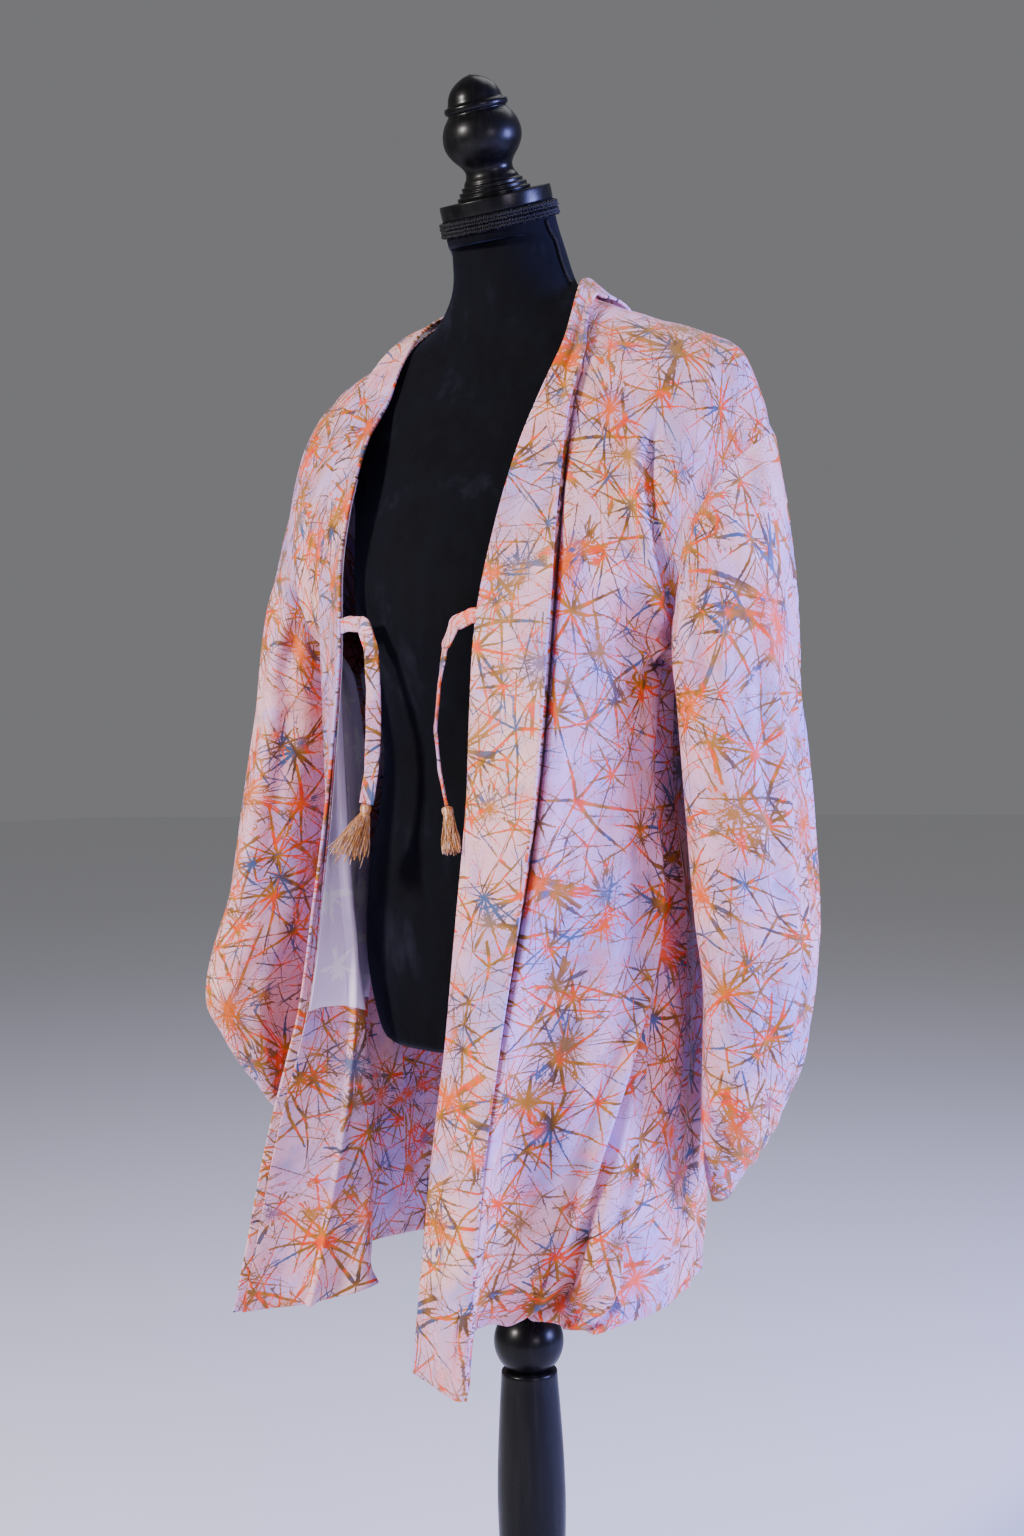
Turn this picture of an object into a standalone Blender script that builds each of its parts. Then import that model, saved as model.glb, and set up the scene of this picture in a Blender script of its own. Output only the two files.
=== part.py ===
"""Haori jacket worn open on a limbless dress form with a turned stand. Metres, +Z up, front is -Y."""
import bpy
import bmesh
import math
import numpy as np
from mathutils import Vector
from mathutils.bvhtree import BVHTree

for old in list(bpy.data.objects):
    bpy.data.objects.remove(old, do_unlink=True)

# ---- driving dimensions -------------------------------------------------------------------
CLOTH = 0.0020            # body and sleeve wall: outer silk and what backs it
SEAM = 0.0003             # gap between two sewn pieces
REST = 0.0008             # gap between cloth and the form under it
COLLAR_T = 0.0030         # folded collar band, two layers and a stiffener
COLLAR_ROLL = 0.008       # how far the band's fold stands past the front edge
LINING_T = 0.0010         # satin lining
NECK_GAP = 0.0020         # the band stands this far off the body lengths round the neck
TIE_W = 0.0135            # front ties
TIE_T = 0.0030
TIE_STEPS = 15
TIE_OFF = {"left": 0.0012, "right": 0.0018}
BODY_COLS = 14            # grid of one body length: points across
BAND_COLS = 5             # of them, points under the collar band
ROWS_LOW = (3, 3, 3, 2, 2, 2)           # rows between the low levels, hem to underarm
ROWS_TOP = (2, 2, 2, 2, 2, 2, 2, 1, 1)  # rows between the rows over the shoulder
NECK_TILT = math.radians(22.0)      # neck top leans forward
POST_SIDES = 24

# ---- the form: one row per level ----------------------------------------------------------
# z, half width, depth in front, depth behind, centre y
FORM = [
    (0.7675, 0.132, 0.098, 0.098, 0.000),
    (0.7760, 0.141, 0.104, 0.105, 0.000),
    (0.8100, 0.152, 0.107, 0.112, 0.000),
    (0.8600, 0.158, 0.110, 0.116, 0.000),
    (0.9300, 0.150, 0.108, 0.106, -0.003),
    (0.9900, 0.133, 0.104, 0.091, -0.007),
    (1.0400, 0.124, 0.105, 0.083, -0.010),
    (1.0900, 0.127, 0.117, 0.084, -0.012),
    (1.1400, 0.138, 0.131, 0.088, -0.012),
    (1.1850, 0.147, 0.134, 0.092, -0.010),
    (1.2300, 0.154, 0.122, 0.097, -0.006),
    (1.2800, 0.165, 0.103, 0.101, 0.000),
    (1.3200, 0.182, 0.088, 0.099, 0.005),
    (1.3500, 0.199, 0.078, 0.094, 0.009),
    (1.3680, 0.207, 0.070, 0.086, 0.011),
    (1.3840, 0.202, 0.064, 0.078, 0.012),
    (1.3960, 0.182, 0.060, 0.072, 0.013),
    (1.4090, 0.150, 0.057, 0.067, 0.014),
    (1.4220, 0.115, 0.055, 0.063, 0.015),
    (1.4360, 0.086, 0.054, 0.060, 0.015),
    (1.4560, 0.067, 0.053, 0.058, 0.013),
    (1.4750, 0.058, 0.051, 0.055, 0.009),
    (1.4980, 0.054, 0.049, 0.051, 0.002),
]
# ---- body lengths, low part: one row per level; six points from the front edge or the
# ---- centre back out to the side seam. z at the edge, second point and side, then x, y in mm
FRONT_LEFT = [
    (515, 510, 545, 0, -186, 66, -206, 34, -152, 82, -103, 127, -113, 139, -82),
    (592, 592, 600, 8, -184, 71, -200, 50, -158, 94, -112, 133, -112, 145, -78),
    (688, 688, 690, 18, -180, 78, -194, 70, -160, 112, -120, 142, -103, 152, -70),
    (790, 790, 790, 30, -174, 91, -186, 91, -160, 130, -122, 153, -90, 161, -54),
    (900, 900, 900, 40, -167, 107, -177, 116, -156, 147, -116, 163, -82, 168, -38),
    (1000, 1000, 1000, 48, -161, 119, -166, 130, -149, 148, -116, 158, -80, 160, -34),
    (1120, 1120, 1115, 53, -156, 124, -153, 138, -139, 152, -112, 162, -76, 168, -28),
]
FRONT_RIGHT = [
    (527, 531, 545, -215, -165, -165, -119, -112, -80, -160, -66, -200, -40, -208, 10),
    (594, 594, 600, -200, -161, -151, -115, -106, -86, -153, -66, -192, -41, -200, 10),
    (688, 688, 690, -176, -160, -130, -112, -99, -92, -146, -68, -184, -41, -190, 8),
    (806, 806, 797, -137, -160, -113, -114, -102, -103, -139, -77, -172, -42, -178, 4),
    (900, 900, 900, -120, -155, -126, -114, -132, -96, -150, -72, -167, -40, -172, 0),
    (1000, 1000, 1000, -105, -150, -135, -105, -148, -87, -159, -64, -165, -38, -166, -8),
    (1120, 1120, 1115, -92, -146, -142, -100, -155, -82, -163, -62, -168, -45, -168, -28),
]
BACK_LEFT = [
    (548, 548, 545, -4, 148, 42, 150, 80, 118, 116, 126, 140, 58, 151, -14),
    (600, 600, 600, -3, 144, 43, 148, 83, 120, 121, 123, 146, 57, 156, -13),
    (690, 690, 690, -1, 138, 44, 145, 88, 123, 128, 118, 154, 55, 162, -10),
    (790, 790, 790, 0, 132, 46, 140, 92, 126, 134, 108, 160, 52, 168, -3),
    (900, 900, 900, 0, 126, 48, 136, 98, 128, 138, 98, 162, 50, 170, 0),
    (1000, 1000, 1000, 0, 122, 52, 131, 102, 122, 138, 92, 157, 45, 162, -5),
    (1115, 1115, 1115, 0, 121, 55, 131, 108, 120, 145, 90, 166, 40, 172, -10),
]
BACK_RIGHT = [
    (548, 548, 545, -4, 148, -52, 152, -94, 134, -128, 122, -170, 114, -194, 76),
    (600, 600, 600, -3, 144, -51, 149, -94, 132, -130, 121, -169, 108, -188, 72),
    (690, 690, 690, -1, 138, -50, 146, -94, 130, -133, 121, -168, 98, -181, 62),
    (790, 790, 790, 0, 132, -50, 141, -95, 128, -137, 117, -166, 84, -174, 50),
    (900, 900, 900, 0, 126, -50, 136, -98, 130, -138, 108, -164, 72, -172, 38),
    (1000, 1000, 1000, 0, 122, -52, 132, -102, 124, -140, 98, -160, 58, -166, 20),
    (1115, 1115, 1115, 0, 121, -55, 131, -108, 120, -145, 90, -166, 40, -172, -10),
]
# ---- body lengths over the shoulder: x, y, z in mm of six points, neck edge to sleeve seam
TOP_LEFT = [
    (65, -147, 1205, 122, -135, 1197, 150, -118, 1187, 170, -98, 1175, 184, -76, 1162, 190, -55, 1150),
    (78, -114, 1300, 122, -104, 1290, 152, -97, 1278, 178, -90, 1260, 198, -82, 1235, 208, -70, 1205),
    (92, -66, 1385, 125, -68, 1372, 158, -64, 1356, 190, -58, 1338, 222, -54, 1312, 233, -48, 1262),
    (76, 12, 1452, 112, 15, 1437, 160, 15, 1419, 207, 15, 1402, 232, 12, 1384, 255, 10, 1300),
    (60, 58, 1452, 105, 70, 1426, 155, 72, 1400, 198, 70, 1368, 226, 64, 1325, 237, 60, 1268),
    (0, 86, 1448, 70, 108, 1402, 130, 112, 1350, 176, 108, 1290, 202, 100, 1245, 211, 90, 1212),
    (0, 108, 1366, 62, 122, 1326, 118, 120, 1272, 160, 108, 1215, 184, 88, 1180, 194, 62, 1158),
    (0, 119, 1240, 58, 130, 1215, 110, 124, 1180, 148, 104, 1150, 170, 66, 1134, 180, 28, 1132),
]
TOP_RIGHT = [
    (-94, -138, 1205, -140, -104, 1195, -158, -92, 1185, -172, -82, 1172, -184, -70, 1160,
     -190, -55, 1150),
    (-93, -110, 1288, -134, -97, 1278, -160, -90, 1264, -184, -84, 1245, -200, -78, 1225,
     -208, -70, 1205),
    (-93, -60, 1362, -125, -63, 1350, -157, -61, 1338, -188, -56, 1324, -215, -51, 1306, -227, -47, 1262),
    (-76, 16, 1452, -112, 15, 1437, -160, 15, 1419, -207, 15, 1402, -230, 12, 1384, -252, 10, 1300),
] + [tuple(v if i % 3 else -v for i, v in enumerate(row)) for row in TOP_LEFT[4:]]
# ---- sleeves: one ring per level: z, centre x, centre y, half width, half depth, turn in degrees
SLEEVE_LEFT = [
    (1.080, 0.2210, 0.010, 0.043, 0.082, 0),
    (1.000, 0.2270, 0.012, 0.045, 0.084, 0),
    (0.900, 0.2320, 0.015, 0.044, 0.083, 0),
    (0.840, 0.2320, 0.018, 0.041, 0.079, 0),
    (0.770, 0.2240, 0.020, 0.036, 0.072, 0),
    (0.700, 0.2090, 0.020, 0.026, 0.053, 0),
    (0.660, 0.1950, 0.020, 0.014, 0.028, 0),
    (0.636, 0.1880, 0.020, 0.006, 0.012, 0),
]
SLEEVE_RIGHT = [
    (1.080, -0.2225, -0.004, 0.041, 0.084, 0),
    (1.000, -0.2290, -0.010, 0.041, 0.088, 3),
    (0.900, -0.2400, -0.020, 0.041, 0.086, 8),
    (0.845, -0.2500, -0.032, 0.039, 0.083, 12),
    (0.795, -0.2540, -0.042, 0.036, 0.078, 15),
    (0.745, -0.2450, -0.038, 0.028, 0.061, 12),
    (0.700, -0.2380, -0.030, 0.018, 0.038, 8),
    (0.672, -0.2310, -0.024, 0.007, 0.014, 4),
]
WRIST_LOW_Z = {"left": 0.722, "right": 0.748}     # wrist opening, low end
WRIST_TOP_Z = {"left": 0.955, "right": 0.960}
UNDER_ARM_LOW_Z = 0.850                           # free edge under the arm ends here
SLEEVE_LIP = 0.006                                # half gap between parted edges
SLEEVE_SWELL = 0.006                              # fullness below the sleeve seam
# ---- collar round the neck: fold x, y, z and free edge x, y, z in mm, left to right
COLLAR_NECK = [
    (70, 10, 1463, 105, 18, 1441),
    (55, 60, 1470, 88, 90, 1434),
    (0, 84, 1470, 0, 117, 1428),
    (-58, 60, 1460, -90, 88, 1432),
    (-76, 12, 1452, -112, 16, 1440),
]
# ---- ties: steps in mm from the band's fold, then the way the width lies at the free end -----
TIE_Z = 1.147
TIE_LEFT = [(-11, -3, 1), (-27, -5, -5), (-36, -7, -24), (-42, -8, -56), (-46, -9, -93),
            (-42, -10, -128), (-35, -11, -158)]
TIE_WIDE_LEFT = (-0.62, 0.78, 0.0)
TIE_RIGHT = [(15, -5, 3), (34, -9, 1), (43, -11, -20), (45, -11, -56), (44, -11, -95),
             (41, -11, -128), (35, -11, -156)]
TIE_WIDE_RIGHT = (0.94, 0.34, 0.0)
TASSEL_HEAD_D = 0.0095
TASSEL_HEAD_L = 0.009
TASSEL_CELLS = 5
# side, foot from the end of the tie in mm, spread of the strands in metres
TASSELS = [("left", (7, -4, -39), 0.0040), ("right", (-12, -3, -49), 0.0110)]
# ---- turned parts: height and radius; the finial's in mm --------------------------------------
FINIAL = [(0, 34), (3, 34), (4, 31.5), (7, 31.5), (8, 28.5), (11, 28.5), (12, 26), (15, 25), (19, 22.5),
          (24, 22), (29, 24.5), (36, 30.5), (44, 35), (52, 36.3), (60, 35), (67, 31.8), (72.5, 27.5),
          (74.5, 27), (75.5, 28.6), (78, 29.3), (80.5, 28.5), (82, 25.6), (89, 23.4), (95, 19.8),
          (100, 14), (103.5, 7.2), (105, 1.5)]
CAP = [(SEAM, 0.0505), (0.0012, 0.052), (0.0118, 0.052), (0.013, 0.0508)]
BRAID_RING = [(-0.0145, 0.0520), (-0.0150, 0.0540), (-0.0130, 0.0562), (-0.0105, 0.0562),
              (-0.0090, 0.0548), (-0.0075, 0.0562), (-0.0050, 0.0562), (-0.0030, 0.0545),
              (-0.0028, 0.0520)]
BALL = [(0.4623, 0.0199), (0.4660, 0.0239), (0.4720, 0.0283), (0.4800, 0.0315), (0.4880, 0.0325),
        (0.4960, 0.0315), (0.5040, 0.0283), (0.5105, 0.0235), (0.5150, 0.0188), (0.5165, 0.0205),
        (0.5185, 0.0230), (0.5210, 0.0236), (0.5265, 0.0236), (0.5290, 0.0228), (0.5310, 0.0192),
        (0.5335, 0.0162), (0.5460, 0.0152)]
COLUMN = [(0.0523, 0.040), (0.0580, 0.041), (0.0640, 0.037), (0.0700, 0.030), (0.0820, 0.0255),
          (0.1100, 0.0230), (0.1500, 0.0232), (0.2000, 0.0252), (0.2500, 0.0282), (0.3000, 0.0308),
          (0.3400, 0.0318), (0.3800, 0.0308), (0.4200, 0.0287), (0.4500, 0.0266), (0.4585, 0.0262),
          (0.4610, 0.0252), (0.4620, 0.0236)]
BASE = [(0.0, 0.188), (0.004, 0.192), (0.016, 0.192), (0.021, 0.188), (0.024, 0.176), (0.030, 0.160),
        (0.035, 0.120), (0.040, 0.082), (0.047, 0.054), (0.052, 0.046)]


def catmull(pts, n=None, at=None):
    """Smooth curve through pts, sampled at n even lengths or at given knot numbers."""
    p = np.asarray(pts, float)
    ext = np.vstack([2 * p[0] - p[1], p, 2 * p[-1] - p[-2]])

    def value(t):
        t = np.clip(t, 0, len(p) - 1)
        i = np.minimum(t.astype(int), len(p) - 2)
        f = (t - i)[:, None]
        a, b, c, d = ext[i], ext[i + 1], ext[i + 2], ext[i + 3]
        return 0.5 * (2 * b + (c - a) * f + (2 * a - 5 * b + 4 * c - d) * f ** 2
                      + (3 * b - a - 3 * c + d) * f ** 3)

    if at is not None:
        return value(np.asarray(at, float))
    t = np.linspace(0, len(p) - 1, 40 * len(p))
    line = value(t)
    run = np.concatenate([[0], np.cumsum(np.linalg.norm(np.diff(line, axis=0), axis=1))])
    return value(np.interp(np.linspace(0, run[-1], n), run, t))


def low_row(row):
    """A low section as metres."""
    xy = np.array(row[3:], float).reshape(-1, 2)
    z = [row[0], row[1]] + [row[2]] * (len(xy) - 2)
    return np.column_stack([xy, z]) / 1000


def top_row(row):
    return np.array(row, float).reshape(-1, 3) / 1000


def knots(counts):
    out = [0.0]
    for i, c in enumerate(counts):
        out += [i + (k + 1) / c for k in range(c)]
    return out


def across(row, roll):
    """Even points across a section: under the collar band, then on to the side."""
    p = row.copy()
    if roll:
        p[0] += (p[1] - p[0]) / np.linalg.norm(p[1] - p[0]) * COLLAR_ROLL
    under = catmull(p, at=np.linspace(0, 1, BAND_COLS))
    fine = catmull(p, at=np.linspace(1, len(p) - 1, 161))
    run = np.concatenate([[0], np.cumsum(np.linalg.norm(np.diff(fine, axis=0), axis=1))])
    t = np.interp(np.linspace(0, run[-1], BODY_COLS - BAND_COLS + 1), run, np.linspace(1, len(p) - 1, 161))
    return np.vstack([under, catmull(p, at=t[1:])])


def body_length(front, top, back):
    """Grid of one body length: front hem, over the shoulder, back hem."""
    rows = [across(low_row(r), True) for r in front]
    rows += [across(top_row(r), i < 3) for i, r in enumerate(top)]
    rows += [across(low_row(r), False) for r in back[::-1]]
    rows = np.array(rows)
    at = knots(ROWS_LOW + ROWS_TOP + ROWS_LOW[::-1])
    return np.stack([catmull(rows[:, c], at=at) for c in range(BODY_COLS)], axis=1)


N_LOW = sum(ROWS_LOW)
NECK_ROW = N_LOW + sum(ROWS_TOP[:6])      # the row that starts at the centre back neck


def form_mesh():
    return rings_to_mesh(form_rings(), True)


def form_rings(sides=32):
    rings = []
    for z, w, f, b, c in FORM:
        ring = []
        for k in range(sides):
            a = 2 * math.pi * k / sides
            x = math.cos(a)
            y = math.sin(a)
            ring.append((w * x, c + (b if y > 0 else f) * y, z))
        rings.append(ring)
    top = Vector((0, -0.017, 1.5345))
    lean = Vector((0, -math.sin(NECK_TILT), math.cos(NECK_TILT)))
    for back, r in ((0.022, 0.0516), (0.0, 0.0516)):
        c = top - lean * back
        ring = []
        for k in range(sides):
            a = 2 * math.pi * k / sides
            across = Vector((1, 0, 0)) * math.cos(a)
            fore = Vector((0, math.cos(NECK_TILT), math.sin(NECK_TILT))) * math.sin(a)
            ring.append(tuple(c + (across + fore) * r))
        rings.append(ring)
    return rings


def rings_to_mesh(rings, capped):
    n = len(rings[0])
    verts = [v for ring in rings for v in ring]
    faces = []
    for i in range(len(rings) - 1):
        for k in range(n):
            a, b = i * n + k, i * n + (k + 1) % n
            faces.append((a, b, b + n, a + n))
    if capped:
        faces.append(tuple(range(n - 1, -1, -1)))
        faces.append(tuple((len(rings) - 1) * n + k for k in range(n)))
    return verts, faces


def lift(points, tree, gap):
    """How far, and which way, each point has to move to clear the tree by gap."""
    out = np.zeros_like(points)
    for i, p in enumerate(points):
        hit, normal, _, dist = tree.find_nearest(Vector(p))
        if hit is None or dist > 0.04:
            continue
        height = (Vector(p) - hit).dot(normal)
        if height < gap:
            out[i] = np.array(normal) * (gap - height)
    return out


def push_out(grid, tree, gap):
    """Move a grid out until its points and the middles of its faces clear the tree by gap."""
    g = grid.copy()
    for _ in range(5):
        g += lift(g.reshape(-1, 3), tree, gap).reshape(g.shape)
        mid = (g[:-1, :-1] + g[1:, :-1] + g[:-1, 1:] + g[1:, 1:]) / 4
        need = lift(mid.reshape(-1, 3), tree, gap).reshape(mid.shape)
        for a in (slice(0, -1), slice(1, None)):
            for b in (slice(0, -1), slice(1, None)):
                keep = np.linalg.norm(need, axis=2) > 1e-9
                g[a, b][keep] += need[keep] * 0.5
    return g


def ease(grid, rounds):
    """Even out a grid a little without moving its edges."""
    g = grid.copy()
    for _ in range(rounds):
        mid = (g[:-2, 1:-1] + g[2:, 1:-1] + g[1:-1, :-2] + g[1:-1, 2:]) / 4
        g[1:-1, 1:-1] = g[1:-1, 1:-1] * 0.5 + mid * 0.5
    return g


def grid_faces(m, n, flip=False):
    out = []
    for i in range(m - 1):
        for j in range(n - 1):
            q = (i * n + j, i * n + j + 1, (i + 1) * n + j + 1, (i + 1) * n + j)
            out.append(q[::-1] if flip else q)
    return out


def vertex_normals(verts, faces):
    v = np.asarray(verts, float)
    total = np.zeros_like(v)
    for f in faces:
        a, b, c = v[f[0]], v[f[1]], v[f[2]]
        nrm = np.cross(b - a, c - a)
        if len(f) == 4:
            nrm = nrm + np.cross(c - a, v[f[3]] - a)
        for k in f:
            total[k] += nrm
    return total


def key(p):
    return (round(p[0], 6), round(p[1], 6), round(p[2], 6))


def material(name, color, rough, metal=0.0):
    m = bpy.data.materials.get(name) or bpy.data.materials.new(name)
    m.use_nodes = True
    s = m.node_tree.nodes["Principled BSDF"]
    s.inputs["Base Color"].default_value = (*color, 1)
    s.inputs["Roughness"].default_value = rough
    s.inputs["Metallic"].default_value = metal
    return m


def solid(name, verts, faces, mat):
    mesh = bpy.data.meshes.new(name)
    mesh.from_pydata([tuple(map(float, v)) for v in verts], [], [tuple(f) for f in faces])
    bm = bmesh.new()
    bm.from_mesh(mesh)
    bmesh.ops.recalc_face_normals(bm, faces=bm.faces)
    if bm.calc_volume(signed=True) < 0:
        bmesh.ops.reverse_faces(bm, faces=bm.faces)
    bmesh.ops.triangulate(bm, faces=bm.faces)
    bm.to_mesh(mesh)
    bm.free()
    obj = bpy.data.objects.new(name, mesh)
    bpy.context.scene.collection.objects.link(obj)
    obj.data.materials.append(mat)
    return obj


class Cloth:
    """Open surfaces that share seam points, thickened together so that their walls meet."""

    def __init__(self):
        self.parts = {}
        self.shared = {}

    def add(self, name, verts, faces):
        v = np.asarray(verts, float)
        n = vertex_normals(v, faces)
        self.parts[name] = (v, faces, n)
        for p, q in zip(v, n):
            k = key(p)
            self.shared[k] = self.shared.get(k, 0) + q

    def unit(self, name):
        """Unit normals: those shared at a seam, or the part's own where the seam turns sharply."""
        v, _, n = self.parts[name]
        both = np.array([self.shared[key(p)] for p in v])
        rest = both - n
        sharp = (n * rest).sum(axis=1) < -0.05 * np.linalg.norm(n, axis=1) * np.linalg.norm(rest, axis=1)
        both[sharp] = n[sharp]
        return both / np.linalg.norm(both, axis=1)[:, None]

    def thick(self, name, outer, inner, trim):
        """Closed shell of one part between two heights over its surface, edges drawn in by trim."""
        v, faces, n = self.parts[name]
        unit = self.unit(name)
        shift = np.zeros_like(v)
        own = n / np.linalg.norm(n, axis=1)[:, None]
        for a, b in rim_of(faces):
            d = np.cross(own[a] + own[b], v[b] - v[a])
            d /= max(np.linalg.norm(d), 1e-12)
            shift[a] += d
            shift[b] += d
        size = np.linalg.norm(shift, axis=1)
        moved = size > 1e-9
        shift[moved] /= size[moved][:, None]
        base = v + shift * trim
        return between(base + unit * outer, base + unit * inner, faces)


def rim_of(faces):
    """Edges used by one face only."""
    edges = set()
    for f in faces:
        edges.update(zip(f, f[1:] + f[:1]))
    return sorted((a, b) for a, b in edges if (b, a) not in edges)


def between(top, low, faces):
    """Closed solid between two copies of an open surface."""
    top, low = top.reshape(-1, 3), low.reshape(-1, 3)
    c = len(top)
    out = [tuple(f) for f in faces] + [tuple(k + c for k in f[::-1]) for f in faces]
    out += [(b, a, a + c, b + c) for a, b in rim_of(faces)]
    return np.vstack([top, low]), out


def sleeve_rows(seam, table, side):
    """Rows of a bag sleeve: the seam loop, a blend below it, then the rings of the table."""
    sign = 1 if side == "left" else -1
    n = (len(seam) - 1) // 2
    rings = []
    for z, cx, cy, a, b, turn in catmull(table, at=knots((2, 2, 2, 2, 2, 2, 1))):
        ring = []
        r = math.radians(turn) * sign
        for k in range(2 * n + 1):
            ang = math.pi * k / n
            x = -a * math.cos(ang) * sign
            y = -b * math.copysign(abs(math.sin(ang)) ** 0.9, math.sin(ang))
            ring.append((cx + x * math.cos(r) - y * math.sin(r), cy + x * math.sin(r) + y * math.cos(r), z))
        rings.append(np.array(ring))
    rows = [np.asarray(seam)]
    for f in (0.25, 0.5, 0.75):
        mix = rows[0] * (1 - f) + rings[0] * f
        out = mix - mix.mean(axis=0)
        out[:, 2] = 0
        out /= np.maximum(np.linalg.norm(out, axis=1), 1e-6)[:, None]
        full = np.sin(math.pi * np.arange(2 * n + 1) / (2 * n)) * SLEEVE_SWELL * math.sin(math.pi * f)
        rows.append(mix + out * full[:, None])
    return np.array(rows + rings)


def sleeve_mesh(rows, side):
    """Vertices and faces of a sleeve; the wrist and the edge under the arm are parted."""
    low, top = WRIST_LOW_Z[side], WRIST_TOP_Z[side]
    m, w = rows.shape[:2]
    half = (w - 1) // 2
    wrist = [low < z < top for z in rows[:, half, 2]]
    under = [i == 0 or rows[i, 0, 2] > UNDER_ARM_LOW_Z for i in range(m)]
    verts, index, faces = [], {}, []

    def put(i, k):
        ver = 0
        if k[0] == half and wrist[i]:
            ver = 1 if k[1] < half else 2
        if k[0] in (0, w - 1):
            if under[i]:
                ver = 1 if k[0] == 0 else 2
            else:
                k = (0, 0)
        name = (i, k[0], ver)
        if name not in index:
            index[name] = len(verts)
            part = 0.0
            if ver and i > 0:
                part = -SLEEVE_LIP if ver == 1 else SLEEVE_LIP
            verts.append(rows[i, k[0]] + np.array([0, part, 0]))
        return index[name]

    for i in range(m - 1):
        for k in range(w - 1):
            faces.append((put(i, (k, k)), put(i, (k + 1, k)), put(i + 1, (k + 1, k)), put(i + 1, (k, k))))
    last = [put(m - 1, (k, k)) for k in range(w - 1)]
    verts.append(np.mean([verts[k] for k in last], axis=0) - np.array([0, 0, 0.005]))
    for k in range(w - 1):
        faces.append((last[k], last[(k + 1) % (w - 1)], len(verts) - 1))
    return verts, faces


def ribbon(line, wide):
    """Flat sewn tie: a rounded strip along a line; wide is how its width lies at each end."""
    steps = len(line)
    verts, faces = [], []
    for i, p in enumerate(line):
        d = line[min(i + 1, steps - 1)] - line[max(i - 1, 0)]
        d /= np.linalg.norm(d)
        w = wide[0] * (1 - i / (steps - 1)) + wide[1] * i / (steps - 1)
        w = w - d * w.dot(d)
        w /= np.linalg.norm(w)
        t = np.cross(d, w)
        for a, b in ((-0.5, 0), (-0.4, 0.5), (0.4, 0.5), (0.5, 0), (0.4, -0.5), (-0.4, -0.5)):
            verts.append(p + w * a * TIE_W + t * b * TIE_T)
    for i in range(steps - 1):
        for k in range(6):
            a, b = i * 6 + k, i * 6 + (k + 1) % 6
            faces.append((a, b, b + 6, a + 6))
    faces += [tuple(range(5, -1, -1)), tuple((steps - 1) * 6 + k for k in range(6))]
    return verts, faces


def disc_grid(c, u, v, r, n):
    """Square grid of (n+1) x (n+1) points mapped onto a disc."""
    out = []
    for i in range(n + 1):
        for j in range(n + 1):
            a, b = 2 * i / n - 1, 2 * j / n - 1
            x, y = a * math.sqrt(1 - b * b / 2), b * math.sqrt(1 - a * a / 2)
            out.append(c + u * (r * x) + v * (r * y))
    return out


def tassel(top, d, foot, spread, n=TASSEL_CELLS):
    """Bound head along d with one square strand drawn down from each cell of its lower face."""
    length = (foot - top).dot(d)
    drift = foot - top - d * length
    u = np.cross(d, (0.3, 1.0, 0.1))
    u /= np.linalg.norm(u)
    w = np.cross(d, u)
    verts, faces = [], []
    count = (n + 1) ** 2
    for h, r in ((0.0, 0.6), (0.15, 1.0), (0.7, 1.0), (0.85, 0.75), (1.0, 0.95)):
        verts += disc_grid(top + d * (h * TASSEL_HEAD_L), u, w, r * TASSEL_HEAD_D / 2, n)
    rim = [i * (n + 1) for i in range(n)] + [n * (n + 1) + j for j in range(n)]
    rim += [(n - i) * (n + 1) + n for i in range(n)] + [n - j for j in range(n)]
    for level in range(4):
        for a, b in zip(rim, rim[1:] + rim[:1]):
            a, b = a + level * count, b + level * count
            faces.append((a, b, b + count, a + count))
    for i in range(n):
        for j in range(n):
            a = i * (n + 1) + j
            cell = (a, a + 1, a + n + 2, a + n + 1)
            faces.append(cell)
            ring = [k + 4 * count for k in cell]
            mid = np.mean([verts[k] for k in ring], axis=0)
            way = mid - top
            way -= d * way.dot(d)
            reach = (length - TASSEL_HEAD_L) * (1 + 0.05 * math.sin(5.1 * i + 3.7 * j))
            size = TASSEL_HEAD_D / n * 0.62 / 2
            before = ring
            for f in (0.0, 0.5, 1.0):
                sway = spread * (f ** 0.8) + 0.0006 * math.sin(2.3 * i + 4.1 * j) * f
                c = mid + d * (reach * f) + drift * f + way * sway / (TASSEL_HEAD_D / 2)
                k0 = len(verts)
                for x, y in ((-1, -1), (-1, 1), (1, 1), (1, -1)):
                    verts.append(c + u * (x * size) + w * (y * size))
                now = [k0, k0 + 1, k0 + 2, k0 + 3]
                for q in range(4):
                    faces.append((before[q], now[q], now[(q + 1) % 4], before[(q + 1) % 4]))
                before = now
            faces.append(tuple(before))
    return verts, faces


def turned(name, rows, mat, sides=POST_SIDES, origin=(0, 0, 0), tilt=0.0):
    """Turned piece: rows of (height, radius) along an axis that leans forward by tilt."""
    o = Vector(origin)
    up = Vector((0, -math.sin(tilt), math.cos(tilt)))
    fore = Vector((0, math.cos(tilt), math.sin(tilt)))
    rings = []
    for h, r in rows:
        ring = []
        for k in range(sides):
            a = 2 * math.pi * k / sides
            around = Vector((1, 0, 0)) * math.cos(a) + fore * math.sin(a)
            ring.append(tuple(o + up * h + around * r))
        rings.append(ring)
    verts, faces = rings_to_mesh(rings, True)
    return solid(name, verts, faces, mat)


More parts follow.
